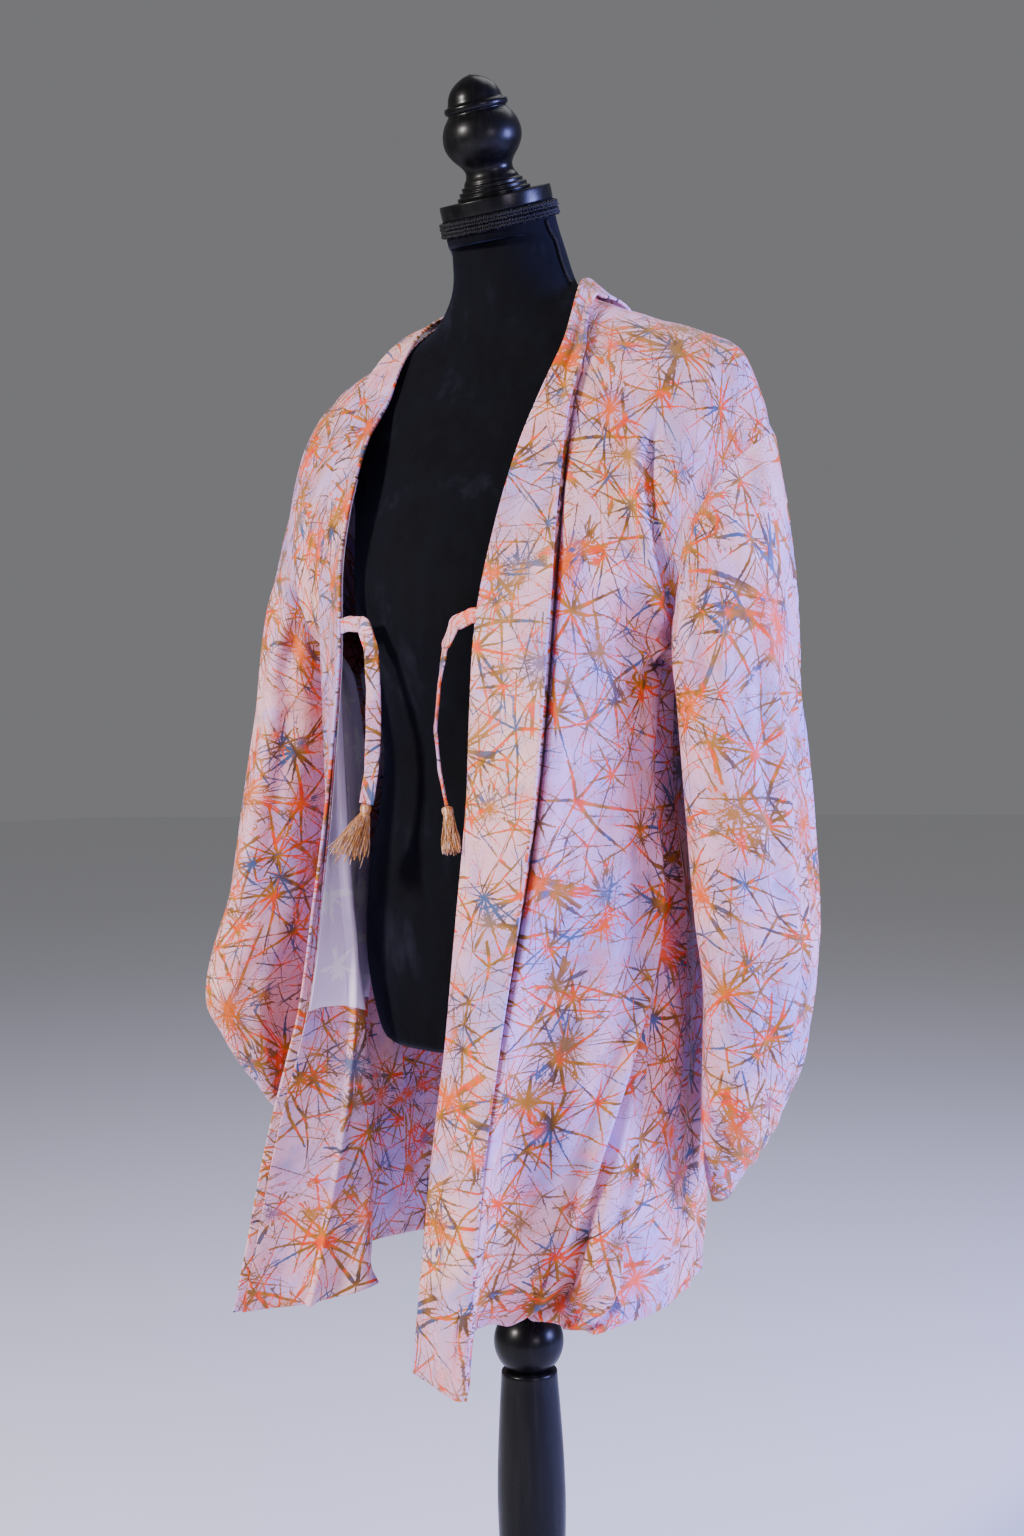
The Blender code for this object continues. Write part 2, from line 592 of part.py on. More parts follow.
def hoop(name, rows, mat, origin, tilt, sides=32):
    """Closed hoop: a loop of (height, radius) turned about a leaning axis."""
    o = Vector(origin)
    up = Vector((0, -math.sin(tilt), math.cos(tilt)))
    fore = Vector((0, math.cos(tilt), math.sin(tilt)))
    verts, faces = [], []
    c = len(rows)
    for k in range(sides):
        a = 2 * math.pi * k / sides
        for h, r in rows:
            around = Vector((1, 0, 0)) * math.cos(a) + fore * math.sin(a)
            verts.append(tuple(o + up * h + around * r))
    for k in range(sides):
        for i in range(c):
            a, b = k * c + i, k * c + (i + 1) % c
            a2, b2 = (k + 1) % sides * c + i, (k + 1) % sides * c + (i + 1) % c
            faces.append((a, b, b2, a2))
    return solid(name, verts, faces, mat)


# ---- materials ------------------------------------------------------------------------------
SILK = material("printed_silk", (0.74, 0.62, 0.66), 0.55)
SATIN = material("lilac_satin", (0.80, 0.74, 0.84), 0.35)
VELVET = material("black_velvet", (0.012, 0.013, 0.018), 0.9)
WOOD = material("black_wood", (0.018, 0.018, 0.022), 0.35)
BRAID = material("black_braid", (0.016, 0.016, 0.02), 0.7)
THREAD = material("ochre_thread", (0.66, 0.42, 0.20), 0.6)

# ---- the form and its stand -----------------------------------------------------------------
fv, ff = form_mesh()
solid("form_torso", fv, ff, VELVET)
form_tree = BVHTree.FromPolygons([Vector(v) for v in fv], ff)

# ---- body lengths ---------------------------------------------------------------------------
left = body_length(FRONT_LEFT, TOP_LEFT, BACK_LEFT)
right = body_length(FRONT_RIGHT, TOP_RIGHT, BACK_RIGHT)
centre = (left[NECK_ROW:, 0] + right[NECK_ROW:, 0]) / 2
left = push_out(left, form_tree, CLOTH + REST)
right = push_out(right, form_tree, CLOTH + REST)
left = push_out(ease(left, 2), form_tree, CLOTH + REST)
right = push_out(ease(right, 2), form_tree, CLOTH + REST)
left[NECK_ROW:, 0] = centre
right[NECK_ROW:, 0] = centre

cloth = Cloth()
m, n = left.shape[:2]
cloth.add("body_panel_left", left.reshape(-1, 3), grid_faces(m, n))
cloth.add("body_panel_right", right.reshape(-1, 3), grid_faces(m, n, True))

# ---- side gussets between the front and back edges of a length ------------------------------
for side, g in (("left", left), ("right", right)):
    front, back = g[:N_LOW + 1, -1], g[::-1][:N_LOW + 1, -1]
    cols = []
    for f in np.linspace(0, 1, 4):
        cols.append(front * (1 - f) + back * f)
    gus = np.stack(cols, axis=1)
    full = 0.06 * np.linalg.norm(front - back, axis=1) - 0.001
    gus[:, 1:-1, 0] += np.maximum(full, 0)[:, None] * (1 if side == "left" else -1)
    cloth.add("gusset_" + side, gus.reshape(-1, 3), grid_faces(N_LOW + 1, 4, side == "right"))

# ---- sleeves --------------------------------------------------------------------------------
for side, g, table in (("left", left, SLEEVE_LEFT), ("right", right, SLEEVE_RIGHT)):
    rows = sleeve_rows(g[N_LOW:m - N_LOW, -1], table, side)
    sv, sf = sleeve_mesh(rows, side)
    if side == "left":
        sf = [tuple(reversed(f)) for f in sf]
    cloth.add("sleeve_" + side, sv, sf)

for name in list(cloth.parts):
    v, f = cloth.thick(name, 0.0, -CLOTH, SEAM * 0.55)
    solid(name, v, f, SILK)

# ---- lining where the front hangs open ------------------------------------------------------
first, last = sum(ROWS_LOW[:3]), N_LOW + 4
patch = right[first:last + 1].copy()
stand = cloth.unit("body_panel_right").reshape(m, n, 3)[first:last + 1].copy()
for grid in (patch, stand):
    grid[:, 0] += (grid[:, 1] - grid[:, 0]) * 0.12
    grid[:, -1] += (grid[:, -2] - grid[:, -1]) * 0.12
patch -= stand * (CLOTH + SEAM)
v, f = between(patch, patch - stand * LINING_T, grid_faces(len(patch), n, True))
solid("lining_right", v, f, SATIN)

# ---- collar band: folded outward, lies on the body lengths -----------------------------------
c_row = N_LOW + sum(ROWS_TOP[:3])
fronts = []
for side, g, front, top in (("left", left, FRONT_LEFT, TOP_LEFT), ("right", right, FRONT_RIGHT, TOP_RIGHT)):
    body, _, _ = cloth.parts["body_panel_" + side]
    out = np.array([cloth.shared[key(p)] for p in body]).reshape(m, n, 3)[:c_row + 1, :BAND_COLS]
    out /= np.linalg.norm(out, axis=2)[:, :, None]
    lie = g[:c_row + 1, :BAND_COLS] + out * SEAM * 2
    beyond = lie[:, 0] - lie[:, 1]
    beyond /= np.linalg.norm(beyond, axis=1)[:, None]
    roll = lie[:, 0] + beyond * COLLAR_ROLL
    fronts.append(np.concatenate([roll[:, None], lie], axis=1))
neck = []
for row in COLLAR_NECK:
    q = np.array(row, float) / 1000
    neck.append(np.linspace(q[:3], q[3:], BAND_COLS + 1))
stations = np.array([fronts[0][-2], fronts[0][-1]] + neck + [fronts[1][-1], fronts[1][-2]])
at = np.array(knots([3] * 6)[1:-1]) + 1
round_neck = np.stack([catmull(stations[:, c], at=at) for c in range(BAND_COLS + 1)], axis=1)
both = [Vector(p) for p in left.reshape(-1, 3)] + [Vector(p) for p in right.reshape(-1, 3)]
pair = grid_faces(m, n) + [tuple(k + m * n for k in f) for f in grid_faces(m, n, True)]
body_tree = BVHTree.FromPolygons(both, pair)
round_neck = push_out(round_neck, body_tree, NECK_GAP)
band = np.concatenate([fronts[0], round_neck, fronts[1][::-1]])
cloth.add("collar_band", band.reshape(-1, 3), grid_faces(len(band), BAND_COLS + 1))
v, f = cloth.thick("collar_band", COLLAR_T, 0.0, 0.0)
solid("collar_band", v, f, SILK)

# ---- front ties and their tassels -----------------------------------------------------------
ends = {}
for side, path, wide in (("left", TIE_LEFT, TIE_WIDE_LEFT), ("right", TIE_RIGHT, TIE_WIDE_RIGHT)):
    grid = fronts[0] if side == "left" else fronts[1]
    edge = grid[:, 0, 2]
    row = int(np.argmax((edge[1:] > TIE_Z) & (edge[:-1] <= TIE_Z)))
    f = (TIE_Z - edge[row]) / (edge[row + 1] - edge[row])
    fold = grid[row, 0] * (1 - f) + grid[row + 1, 0] * f
    along = grid[row + 1, 0] - grid[row, 0]
    out = np.cross(grid[row, 1] - grid[row, 0], along)
    out *= np.sign(-out[1]) / np.linalg.norm(out)
    root = fold + out * COLLAR_T / 2
    steps = np.array(path, float) / 1000
    way = grid[row, 0] - grid[row, 1]
    way /= np.linalg.norm(way)
    start = root + way * TIE_OFF[side]
    line = catmull(np.vstack([start, start + way * 0.003, root + steps]), TIE_STEPS)
    v, f = ribbon(line, np.array([along / np.linalg.norm(along), wide], float))
    solid("tie_" + side, v, f, SILK)
    d = line[-1] - line[-2]
    ends[side] = (line[-1], d / np.linalg.norm(d))
for side, foot, spread in TASSELS:
    end, d = ends[side]
    v, f = tassel(end + d * SEAM, d, end + np.array(foot, float) / 1000, spread)
    solid("tassel_" + side, v, f, THREAD)

# ---- neck top, finial and stand -------------------------------------------------------------
top = (0.0, -0.017, 1.5345)
hoop("neck_braid", BRAID_RING, BRAID, top, NECK_TILT)
turned("neck_cap", CAP, WOOD, 36, top, NECK_TILT)
turned("finial", [(0.0133 + h / 1000, r / 1000) for h, r in FINIAL], WOOD, 20, top, NECK_TILT)
turned("stand_rod", [(0.5463, 0.014), (0.7672, 0.014)], WOOD, 20)
turned("stand_ball", BALL, WOOD, 24)
turned("stand_column", COLUMN, WOOD, 20)
turned("stand_base", BASE, WOOD, 32)
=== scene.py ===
"""Haori jacket on a limbless dress form: the finish of every surface. Metres, +Z up, front is -Y."""
from math import atan, cos, pi, radians, sin, sqrt

import bpy
import numpy as np
from mathutils import Matrix, Vector
from mathutils.bvhtree import BVHTree
from numpy.linalg import norm


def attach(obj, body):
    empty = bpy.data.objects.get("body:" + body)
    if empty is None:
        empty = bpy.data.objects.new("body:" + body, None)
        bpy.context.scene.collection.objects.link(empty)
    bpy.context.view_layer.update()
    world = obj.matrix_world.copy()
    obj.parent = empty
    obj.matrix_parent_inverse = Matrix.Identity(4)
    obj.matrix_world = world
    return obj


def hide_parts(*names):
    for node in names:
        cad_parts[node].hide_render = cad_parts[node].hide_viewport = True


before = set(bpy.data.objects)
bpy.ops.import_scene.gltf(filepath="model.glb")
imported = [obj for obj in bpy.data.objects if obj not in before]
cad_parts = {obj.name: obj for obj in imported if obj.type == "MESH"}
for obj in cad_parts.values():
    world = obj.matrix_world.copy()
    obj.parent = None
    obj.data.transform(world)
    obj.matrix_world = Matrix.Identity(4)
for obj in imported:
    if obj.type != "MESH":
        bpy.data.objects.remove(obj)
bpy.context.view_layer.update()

# ---- sizes
WALL = 0.0014             # a cloth wall: silk and what backs it
CLEAR = 0.0028            # outer silk to the form
SEAM = 0.0003
COLLAR_T = 0.003
COLLAR_ROLL = 0.008
LINING_T = 0.0008
LINING_GAP = 0.0005       # lining to the wall it hangs behind
NECK_GAP = 0.002
COLS = 14
BAND_COLS = 5             # coarse places across the body length that the folded band covers
ROWS_LOW = (3, 3, 3, 2, 2, 2)
ROWS_TOP = (2, 2, 2, 2, 2, 2, 2, 1, 1)
FINE_ROW = 5              # fine rows in a coarse one
FINE_COL = 9
BAND_TROUGH = 0.01        # how far the body lies lower past the band's free edge
GUSSET_COLS = 13
LEFT_RIGHT = {"left": 1, "right": -1}     # the wearer's left is +X
FORM_SIDES = 96
WOOD_SIDES = 96
WOOD_STEPS = 6            # rings in each step of a turned profile
FORM_STEPS = 3            # rings in each step of the form's table
NECK_R = 0.0516
GIMP_R = 0.0538
GIMP_LOOPS = 56           # turns of the plait round the neck
NECK_TILT = radians(22.0)
NECK_TOP = Vector((0.0, -0.017, 1.5345))
EDGE_ANGLE = radians(50)             # edges sharper than this stay crisp

# ---- the form: z, half width, depth in front, depth behind, centre y
FORM = [
    (0.7675, 0.132, 0.098, 0.098, 0), (0.776, 0.141, 0.104, 0.105, 0),
    (0.81, 0.152, 0.107, 0.112, 0), (0.86, 0.158, 0.11, 0.116, 0),
    (0.93, 0.15, 0.108, 0.106, -0.003), (0.99, 0.133, 0.104, 0.091, -0.007),
    (1.04, 0.124, 0.105, 0.083, -0.01), (1.09, 0.127, 0.117, 0.084, -0.012),
    (1.14, 0.138, 0.131, 0.088, -0.012), (1.185, 0.147, 0.134, 0.092, -0.01),
    (1.23, 0.154, 0.122, 0.097, -0.006), (1.28, 0.165, 0.103, 0.101, 0),
    (1.32, 0.182, 0.088, 0.099, 0.005), (1.35, 0.199, 0.078, 0.094, 0.009),
    (1.368, 0.207, 0.07, 0.086, 0.011), (1.384, 0.202, 0.064, 0.078, 0.012),
    (1.396, 0.182, 0.06, 0.072, 0.013), (1.409, 0.15, 0.057, 0.067, 0.014),
    (1.422, 0.115, 0.055, 0.063, 0.015), (1.436, 0.086, 0.054, 0.06, 0.015),
    (1.456, 0.067, 0.053, 0.058, 0.013), (1.475, 0.058, 0.051, 0.055, 0.009),
    (1.498, 0.054, 0.049, 0.051, 0.002),
]
# ---- body lengths below the arm, in mm: z, or z at the edge, the second point and beyond, then x, y
FRONT_LEFT = [
    (515, 510, 545, 0, -186, 66, -206, 34, -152, 82, -103, 127, -113, 139, -82),
    (592, 592, 600, 8, -184, 71, -200, 50, -158, 94, -112, 133, -112, 145, -78),
    (688, 688, 690, 18, -180, 78, -194, 70, -160, 112, -120, 142, -103, 152, -70),
    (790, 30, -174, 91, -186, 91, -160, 130, -122, 153, -90, 161, -54),
    (900, 40, -167, 107, -177, 116, -156, 147, -116, 163, -82, 168, -38),
    (1000, 48, -161, 119, -166, 130, -149, 148, -116, 158, -80, 160, -34),
    (1120, 1120, 1115, 53, -156, 124, -153, 138, -139, 152, -112, 162, -76, 168, -28),
]
FRONT_RIGHT = [
    (527, 531, 545, -215, -165, -165, -119, -112, -80, -160, -66, -200, -40, -208, 10),
    (594, 594, 600, -200, -161, -151, -115, -106, -86, -153, -66, -192, -41, -200, 10),
    (688, 688, 690, -176, -160, -130, -112, -99, -92, -146, -68, -184, -41, -190, 8),
    (806, 806, 797, -137, -160, -113, -114, -102, -103, -139, -77, -172, -42, -178, 4),
    (900, -120, -155, -126, -114, -132, -96, -150, -72, -167, -40, -172, 0),
    (1000, -105, -150, -135, -105, -148, -87, -159, -64, -165, -38, -166, -8),
    (1120, 1120, 1115, -92, -146, -142, -100, -155, -82, -163, -62, -168, -45, -168, -28),
]
BACK_LEFT = [
    (548, 548, 545, -4, 148, 42, 150, 80, 118, 116, 126, 140, 58, 151, -14),
    (600, -3, 144, 43, 148, 83, 120, 121, 123, 146, 57, 156, -13),
    (690, -1, 138, 44, 145, 88, 123, 128, 118, 154, 55, 162, -10),
    (790, 0, 132, 46, 140, 92, 126, 134, 108, 160, 52, 168, -3),
    (900, 0, 126, 48, 136, 98, 128, 138, 98, 162, 50, 170, 0),
    (1000, 0, 122, 52, 131, 102, 122, 138, 92, 157, 45, 162, -5),
    (1115, 0, 121, 55, 131, 108, 120, 145, 90, 166, 40, 172, -10),
]
BACK_RIGHT = [
    (548, 548, 545, -4, 148, -52, 152, -94, 134, -128, 122, -170, 114, -194, 76),
    (600, -3, 144, -51, 149, -94, 132, -130, 121, -169, 108, -188, 72),
    (690, -1, 138, -50, 146, -94, 130, -133, 121, -168, 98, -181, 62),
    (790, 0, 132, -50, 141, -95, 128, -137, 117, -166, 84, -174, 50),
    (900, 0, 126, -50, 136, -98, 130, -138, 108, -164, 72, -172, 38),
    (1000, 0, 122, -52, 132, -102, 124, -140, 98, -160, 58, -166, 20),
    (1115, 0, 121, -55, 131, -108, 120, -145, 90, -166, 40, -172, -10),
]
# ---- body lengths over the shoulder: x, y, z in mm of six points from neck edge to sleeve seam
TOP_LEFT = [
    (65, -147, 1205, 122, -135, 1197, 150, -118, 1187, 170, -98, 1175, 184, -76, 1162, 190, -55, 1150),
    (78, -114, 1300, 122, -104, 1290, 152, -97, 1278, 178, -90, 1260, 198, -82, 1235, 208, -70, 1205),
    (92, -66, 1385, 125, -68, 1372, 158, -64, 1356, 190, -58, 1338, 222, -54, 1312, 233, -48, 1262),
    (76, 12, 1452, 112, 15, 1437, 160, 15, 1419, 207, 15, 1402, 232, 12, 1384, 255, 10, 1300),
    (60, 58, 1452, 105, 70, 1426, 155, 72, 1400, 198, 70, 1368, 226, 64, 1325, 237, 60, 1268),
    (0, 86, 1448, 70, 108, 1402, 130, 112, 1350, 176, 108, 1290, 202, 100, 1245, 211, 90, 1212),
    (0, 108, 1366, 62, 122, 1326, 118, 120, 1272, 160, 108, 1215, 184, 88, 1180, 194, 62, 1158),
    (0, 119, 1240, 58, 130, 1215, 110, 124, 1180, 148, 104, 1150, 170, 66, 1134, 180, 28, 1132),
]
TOP_RIGHT = [
    (-94, -138, 1205, -140, -104, 1195, -158, -92, 1185, -172, -82, 1172, -184, -70, 1160, -190, -55, 1150),
    (-93, -110, 1288, -134, -97, 1278, -160, -90, 1264, -184, -84, 1245, -200, -78, 1225, -208, -70, 1205),
    (-93, -60, 1362, -125, -63, 1350, -157, -61, 1338, -188, -56, 1324, -215, -51, 1306, -227, -47, 1262),
    (-76, 16, 1452, -112, 15, 1437, -160, 15, 1419, -207, 15, 1402, -230, 12, 1384, -252, 10, 1300),
] + [tuple(v if i % 3 else -v for i, v in enumerate(row)) for row in TOP_LEFT[4:]]
# ---- sleeves: z, centre x, centre y, half width, half depth, turn in degrees
SLEEVE_LEFT = [
    (1.08, 0.221, 0.01, 0.043, 0.082, 0), (1, 0.227, 0.012, 0.045, 0.084, 0),
    (0.9, 0.232, 0.015, 0.044, 0.083, 0), (0.84, 0.232, 0.018, 0.041, 0.079, 0),
    (0.77, 0.224, 0.02, 0.036, 0.072, 0), (0.7, 0.209, 0.02, 0.026, 0.053, 0),
    (0.66, 0.195, 0.02, 0.014, 0.028, 0), (0.636, 0.188, 0.02, 0.006, 0.012, 0),
]
SLEEVE_RIGHT = [
    (1.08, -0.2225, -0.004, 0.041, 0.084, 0), (1, -0.229, -0.01, 0.041, 0.088, 3),
    (0.9, -0.24, -0.02, 0.041, 0.086, 8), (0.845, -0.25, -0.032, 0.039, 0.083, 12),
    (0.795, -0.254, -0.042, 0.036, 0.078, 15), (0.745, -0.245, -0.038, 0.028, 0.061, 12),
    (0.7, -0.238, -0.03, 0.018, 0.038, 8), (0.672, -0.231, -0.024, 0.007, 0.014, 4),
]
WRIST = {"left": (0.722, 0.955), "right": (0.748, 0.96)}     # heights where the wrist opening ends
UNDER_ARM_LOW_Z = 0.85
SLEEVE_LIP = 0.0045       # half the gap between the edges of an opening
LIP_RUN = 0.03            # length over which it parts
WRIST_SHUT = {-1: (0.0022, 0.0075), 1: (-0.0012, -0.0035)}    # front and back edge, brought together
SLEEVE_SWELL = 0.006
# ---- collar round the neck: fold x, y, z and free edge x, y, z in mm, left to right
COLLAR_NECK = [
    (70, 10, 1463, 86, 12, 1445), (55, 60, 1470, 82, 87, 1437), (0, 84, 1470, 0, 117, 1428),
    (-58, 60, 1460, -90, 88, 1432), (-76, 12, 1452, -112, 16, 1440),
]
# ---- ties: steps in mm from the band's fold, the way the tip's width lies, start off the fold
TIE_Z = 1.147
TIES = {
    "left": ([(-11, -3, 1), (-27, -5, -5), (-36, -7, -24), (-42, -8, -56), (-46, -9, -93),
              (-42, -10, -128), (-35, -11, -158)], (-0.62, 0.78, 0), 0.0012),
    "right": ([(15, -5, 3), (34, -9, 1), (43, -11, -20), (45, -11, -56), (44, -11, -95),
               (41, -11, -128), (35, -11, -156)], (0.94, 0.34, 0), 0.0018),
}
TIE_W = 0.0135
TIE_T = 0.003
TASSELS = {"left": ((7, -4, -39), 0.004), "right": ((-17, -7, -44), 0.0135)}    # foot in mm, spread in metres
STRANDS = 90
STRAND_R = 0.00042
BINDING_R = 0.00035
HEAD_LONG = 0.009
HEAD_R = 0.00475
HEAD = ((0, 0.5), (0.03, 0.72), (0.15, 0.98), (0.4, 1.06), (0.68, 1), (0.8, 0.8), (0.9, 0.8),
        (1, 0.98), (1.1, 1.02), (1.2, 0.7))      # shares of its length and radius

# ---- turned wood: height and radius; the finial's in mm
FINIAL = [(0, 34), (3, 34), (4, 31.5), (7, 31.5), (8, 28.5), (11, 28.5), (12, 26), (15, 25), (19, 22.5),
          (24, 22), (29, 24.5), (36, 30.5), (44, 35), (52, 36.3), (60, 35), (67, 31.8), (72.5, 27.5),
          (74.5, 27), (75.5, 28.6), (78, 29.3), (80.5, 28.5), (82, 25.6), (89, 23.4), (95, 19.8),
          (100, 14), (103.5, 7.2), (105, 1.5)]
CAP = [(0.0003, 0.0505), (0.0012, 0.052), (0.0118, 0.052), (0.013, 0.0508)]
BALL = [(0.4623, 0.0199), (0.466, 0.0239), (0.472, 0.0283), (0.48, 0.0315), (0.488, 0.0325),
        (0.496, 0.0315), (0.504, 0.0283), (0.5105, 0.0235), (0.515, 0.0188), (0.5165, 0.0205),
        (0.5185, 0.023), (0.521, 0.0236), (0.5265, 0.0236), (0.529, 0.0228), (0.531, 0.0192),
        (0.5335, 0.0162), (0.546, 0.0152)]
COLUMN = [(0.0523, 0.04), (0.058, 0.041), (0.064, 0.037), (0.07, 0.03), (0.082, 0.0255),
          (0.11, 0.023), (0.15, 0.0232), (0.2, 0.0252), (0.25, 0.0282), (0.3, 0.0308),
          (0.34, 0.0318), (0.38, 0.0308), (0.42, 0.0287), (0.45, 0.0266), (0.4585, 0.0262),
          (0.461, 0.0252), (0.462, 0.0236)]
BASE = [(0, 0.188), (0.004, 0.192), (0.016, 0.192), (0.021, 0.188), (0.024, 0.176), (0.03, 0.16),
        (0.035, 0.12), (0.04, 0.082), (0.047, 0.054), (0.052, 0.046)]


# ======== shapes ========
def spline(pts, at):
    """Smooth line through pts (along the first axis), at knot numbers."""
    p = np.asarray(pts, float)
    ext = np.concatenate([2 * p[:1] - p[1:2], p, 2 * p[-1:] - p[-2:-1]])
    t = np.clip(np.asarray(at, float), 0, len(p) - 1)
    i = np.minimum(t.astype(int), len(p) - 2)
    f = (t - i).reshape((-1,) + (1,) * (p.ndim - 1))
    a, b, c, d = ext[i], ext[i + 1], ext[i + 2], ext[i + 3]
    return 0.5 * (2 * b + (c - a) * f + (2 * a - 5 * b + 4 * c - d) * f ** 2
                  + (3 * b - a - 3 * c + d) * f ** 3)


def run_along(line):
    """How far along a line of points each of them lies."""
    return np.concatenate([[0], np.cumsum(norm(np.diff(line, axis=0), axis=1))])


def even(pts, n):
    """Smooth line through pts, at n even lengths."""
    t = np.linspace(0, len(pts) - 1, 40 * len(pts))
    run = run_along(spline(pts, t))
    return spline(pts, np.interp(np.linspace(0, run[-1], n), run, t))


def denser(pts, steps):
    """Smooth line through pts, with each gap cut into steps."""
    return spline(pts, np.linspace(0, len(pts) - 1, (len(pts) - 1) * steps + 1))


def finer(grid, rows, cols):
    """The same surface with more rows and columns."""
    return denser(denser(grid, rows).swapaxes(0, 1), cols).swapaxes(0, 1)


def straightened(cut, spread=18):
    """The same flat places with the grain drawn straight: widths averaged down the cloth."""
    i = np.arange(len(cut))
    w = np.exp(-((i[:, None] - i[None]) / spread) ** 2 / 2)
    out = cut.copy()
    out[..., 0] = (w / w.sum(axis=1)[:, None]) @ cut[..., 0]
    return out


def clip01(t):
    return np.clip(t, 0, 1)


def smooth(t):
    """From 0 to 1 with level ends."""
    t = clip01(t)
    return t * t * (3 - 2 * t)


def from_ends(n):
    """Steps to the nearer end, for each of n places."""
    return np.minimum(np.arange(n), n - 1 - np.arange(n))


def circle(n):
    """Angles of n even places round a circle."""
    return np.arange(n) * 2 * pi / n


def around(angles, side, fore):
    """Directions at those angles, from side towards fore."""
    return np.outer(np.cos(angles), side) + np.outer(np.sin(angles), fore)


def leaning(tilt):
    """Up and fore of a part that leans forward."""
    return (np.array((0, -sin(tilt), cos(tilt))),
            np.array((0, cos(tilt), sin(tilt))))


def knots(counts):
    """Knot numbers that cut each step of a line into so many."""
    out = [0.0]
    for i, c in enumerate(counts):
        out += [i + (k + 1) / c for k in range(c)]
    return np.array(out)


def low_row(row):
    """Points of a section below the arm, in metres."""
    z, xy = row[:-12], np.array(row[-12:], float).reshape(-1, 2)
    return np.column_stack([xy, [z[0], z[len(z) // 2]] + [z[-1]] * 4]) / 1000


def top_row(row):
    """Points of a line over the shoulder, in metres."""
    return np.array(row, float).reshape(-1, 3) / 1000


def across(row, roll):
    """Even points across a section: under the collar band, then on to the side."""
    p = row.copy()
    if roll:
        p[0] += (p[1] - p[0]) / norm(p[1] - p[0]) * COLLAR_ROLL
    t = np.linspace(1, len(p) - 1, 161)
    run = run_along(spline(p, t))
    rest = np.interp(np.linspace(0, run[-1], COLS - BAND_COLS + 1), run, t)[1:]
    return spline(p, np.concatenate([np.linspace(0, 1, BAND_COLS), rest]))


def body_length(front, top, back):
    """Coarse grid of one body length: front hem, over the shoulder, back hem."""
    rows = [across(low_row(r), True) for r in front]
    rows += [across(top_row(r), i < 3) for i, r in enumerate(top)]
    rows += [across(low_row(r), False) for r in back[::-1]]
    return spline(np.array(rows), knots(ROWS_LOW + ROWS_TOP + ROWS_LOW[::-1]))


def ease(grid, rounds):
    """Even out the inner points of a grid; its rim stays."""
    g = grid.copy()
    for _ in range(rounds):
        mid = (g[:-2, 1:-1] + g[2:, 1:-1] + g[1:-1, :-2] + g[1:-1, 2:]) / 4
        g[1:-1, 1:-1] = g[1:-1, 1:-1] * 0.5 + mid * 0.5
    return g


def push_out(grid, tree, gap, rounds=4):
    """Move points that lie closer to a surface than gap out of it."""
    g = grid.reshape(-1, 3).copy()
    for _ in range(rounds):
        moved = 0
        for i, p in enumerate(g):
            hit, normal, _, dist = tree.find_nearest(Vector(p), 0.04)
            if hit is None:
                continue
            height = (Vector(p) - hit).dot(normal)
            if height < gap:
                g[i] += np.array(normal) * (gap - height)
                moved += 1
        if not moved:
            break
    return g.reshape(grid.shape)


def form_rings(sides):
    """Rings of the form from its foot to the top of the neck."""
    a = circle(sides)
    x, y = np.cos(a), np.sin(a)
    rings = [np.column_stack([w * x, c + np.where(y > 0, b, f) * y, np.full(sides, z)])
             for z, w, f, b, c in denser(FORM, FORM_STEPS)]
    top, (lean, fore) = np.array(NECK_TOP), leaning(NECK_TILT)
    neck = [top - lean * back + around(a, (1, 0, 0), fore) * NECK_R for back in (0.022, 0.0)]
    last = np.array([rings[-FORM_STEPS - 1], rings[-1]] + neck)
    return np.array(rings + list(spline(last, np.linspace(1, 3, 2 * FORM_STEPS + 3))[1:]))


def ring_mesh(rings):
    """Points and faces of closed rings, with a cap at each end."""
    m, n = rings.shape[:2]
    faces = [(i * n + k, i * n + (k + 1) % n, (i + 1) * n + (k + 1) % n, (i + 1) * n + k)
             for i in range(m - 1) for k in range(n)]
    faces += [tuple(range(n - 1, -1, -1)), tuple((m - 1) * n + k for k in range(n))]
    return rings.reshape(-1, 3), faces


def grid_faces(m, n, flip=False):
    i, j = np.meshgrid(np.arange(m - 1), np.arange(n - 1), indexing="ij")
    a = (i * n + j).ravel()
    f = np.column_stack([a, a + 1, a + n + 1, a + n])
    return f[:, ::-1] if flip else f


def placed(name, data):
    """A new object in the scene."""
    obj = bpy.data.objects.new(name, data)
    bpy.context.scene.collection.objects.link(obj)
    return obj


def mesh_object(name, verts, faces, mats=(), uv=None, which=None, soft=True, edges=()):
    """A mesh with its materials, its UV map in metres and a material number for each face."""
    mesh = bpy.data.meshes.new(name)
    mesh.from_pydata(np.asarray(verts, float).tolist(), edges, [tuple(int(k) for k in f) for f in faces])
    for m in mats:
        mesh.materials.append(m)
    if uv is not None:
        layer = mesh.uv_layers.new(name="cut")
        index = np.empty(len(mesh.loops), dtype=np.int32)
        mesh.loops.foreach_get("vertex_index", index)
        layer.data.foreach_set("uv", np.asarray(uv, np.float32)[index].ravel())
    if which is not None:
        mesh.polygons.foreach_set("material_index", np.asarray(which, np.int32))
    if soft:
        mesh.polygons.foreach_set("use_smooth", np.ones(len(mesh.polygons), bool))
    mesh.update()
    return placed(name, mesh)


def point_normals(v, f):
    """Sum of the face normals at each point, not yet of unit length."""
    a, b, c, d = (v[f[:, k]] for k in range(4))
    n = np.cross(c - a, d - b)
    out = np.zeros_like(v)
    for k in range(4):
        np.add.at(out, f[:, k], n)
    return out


def unit(v):
    return v / np.maximum(norm(v, axis=-1), 1e-12)[..., None]


def grid_normals(g, flip=False):
    return unit(point_normals(g.reshape(-1, 3), grid_faces(*g.shape[:2], flip))).reshape(g.shape)


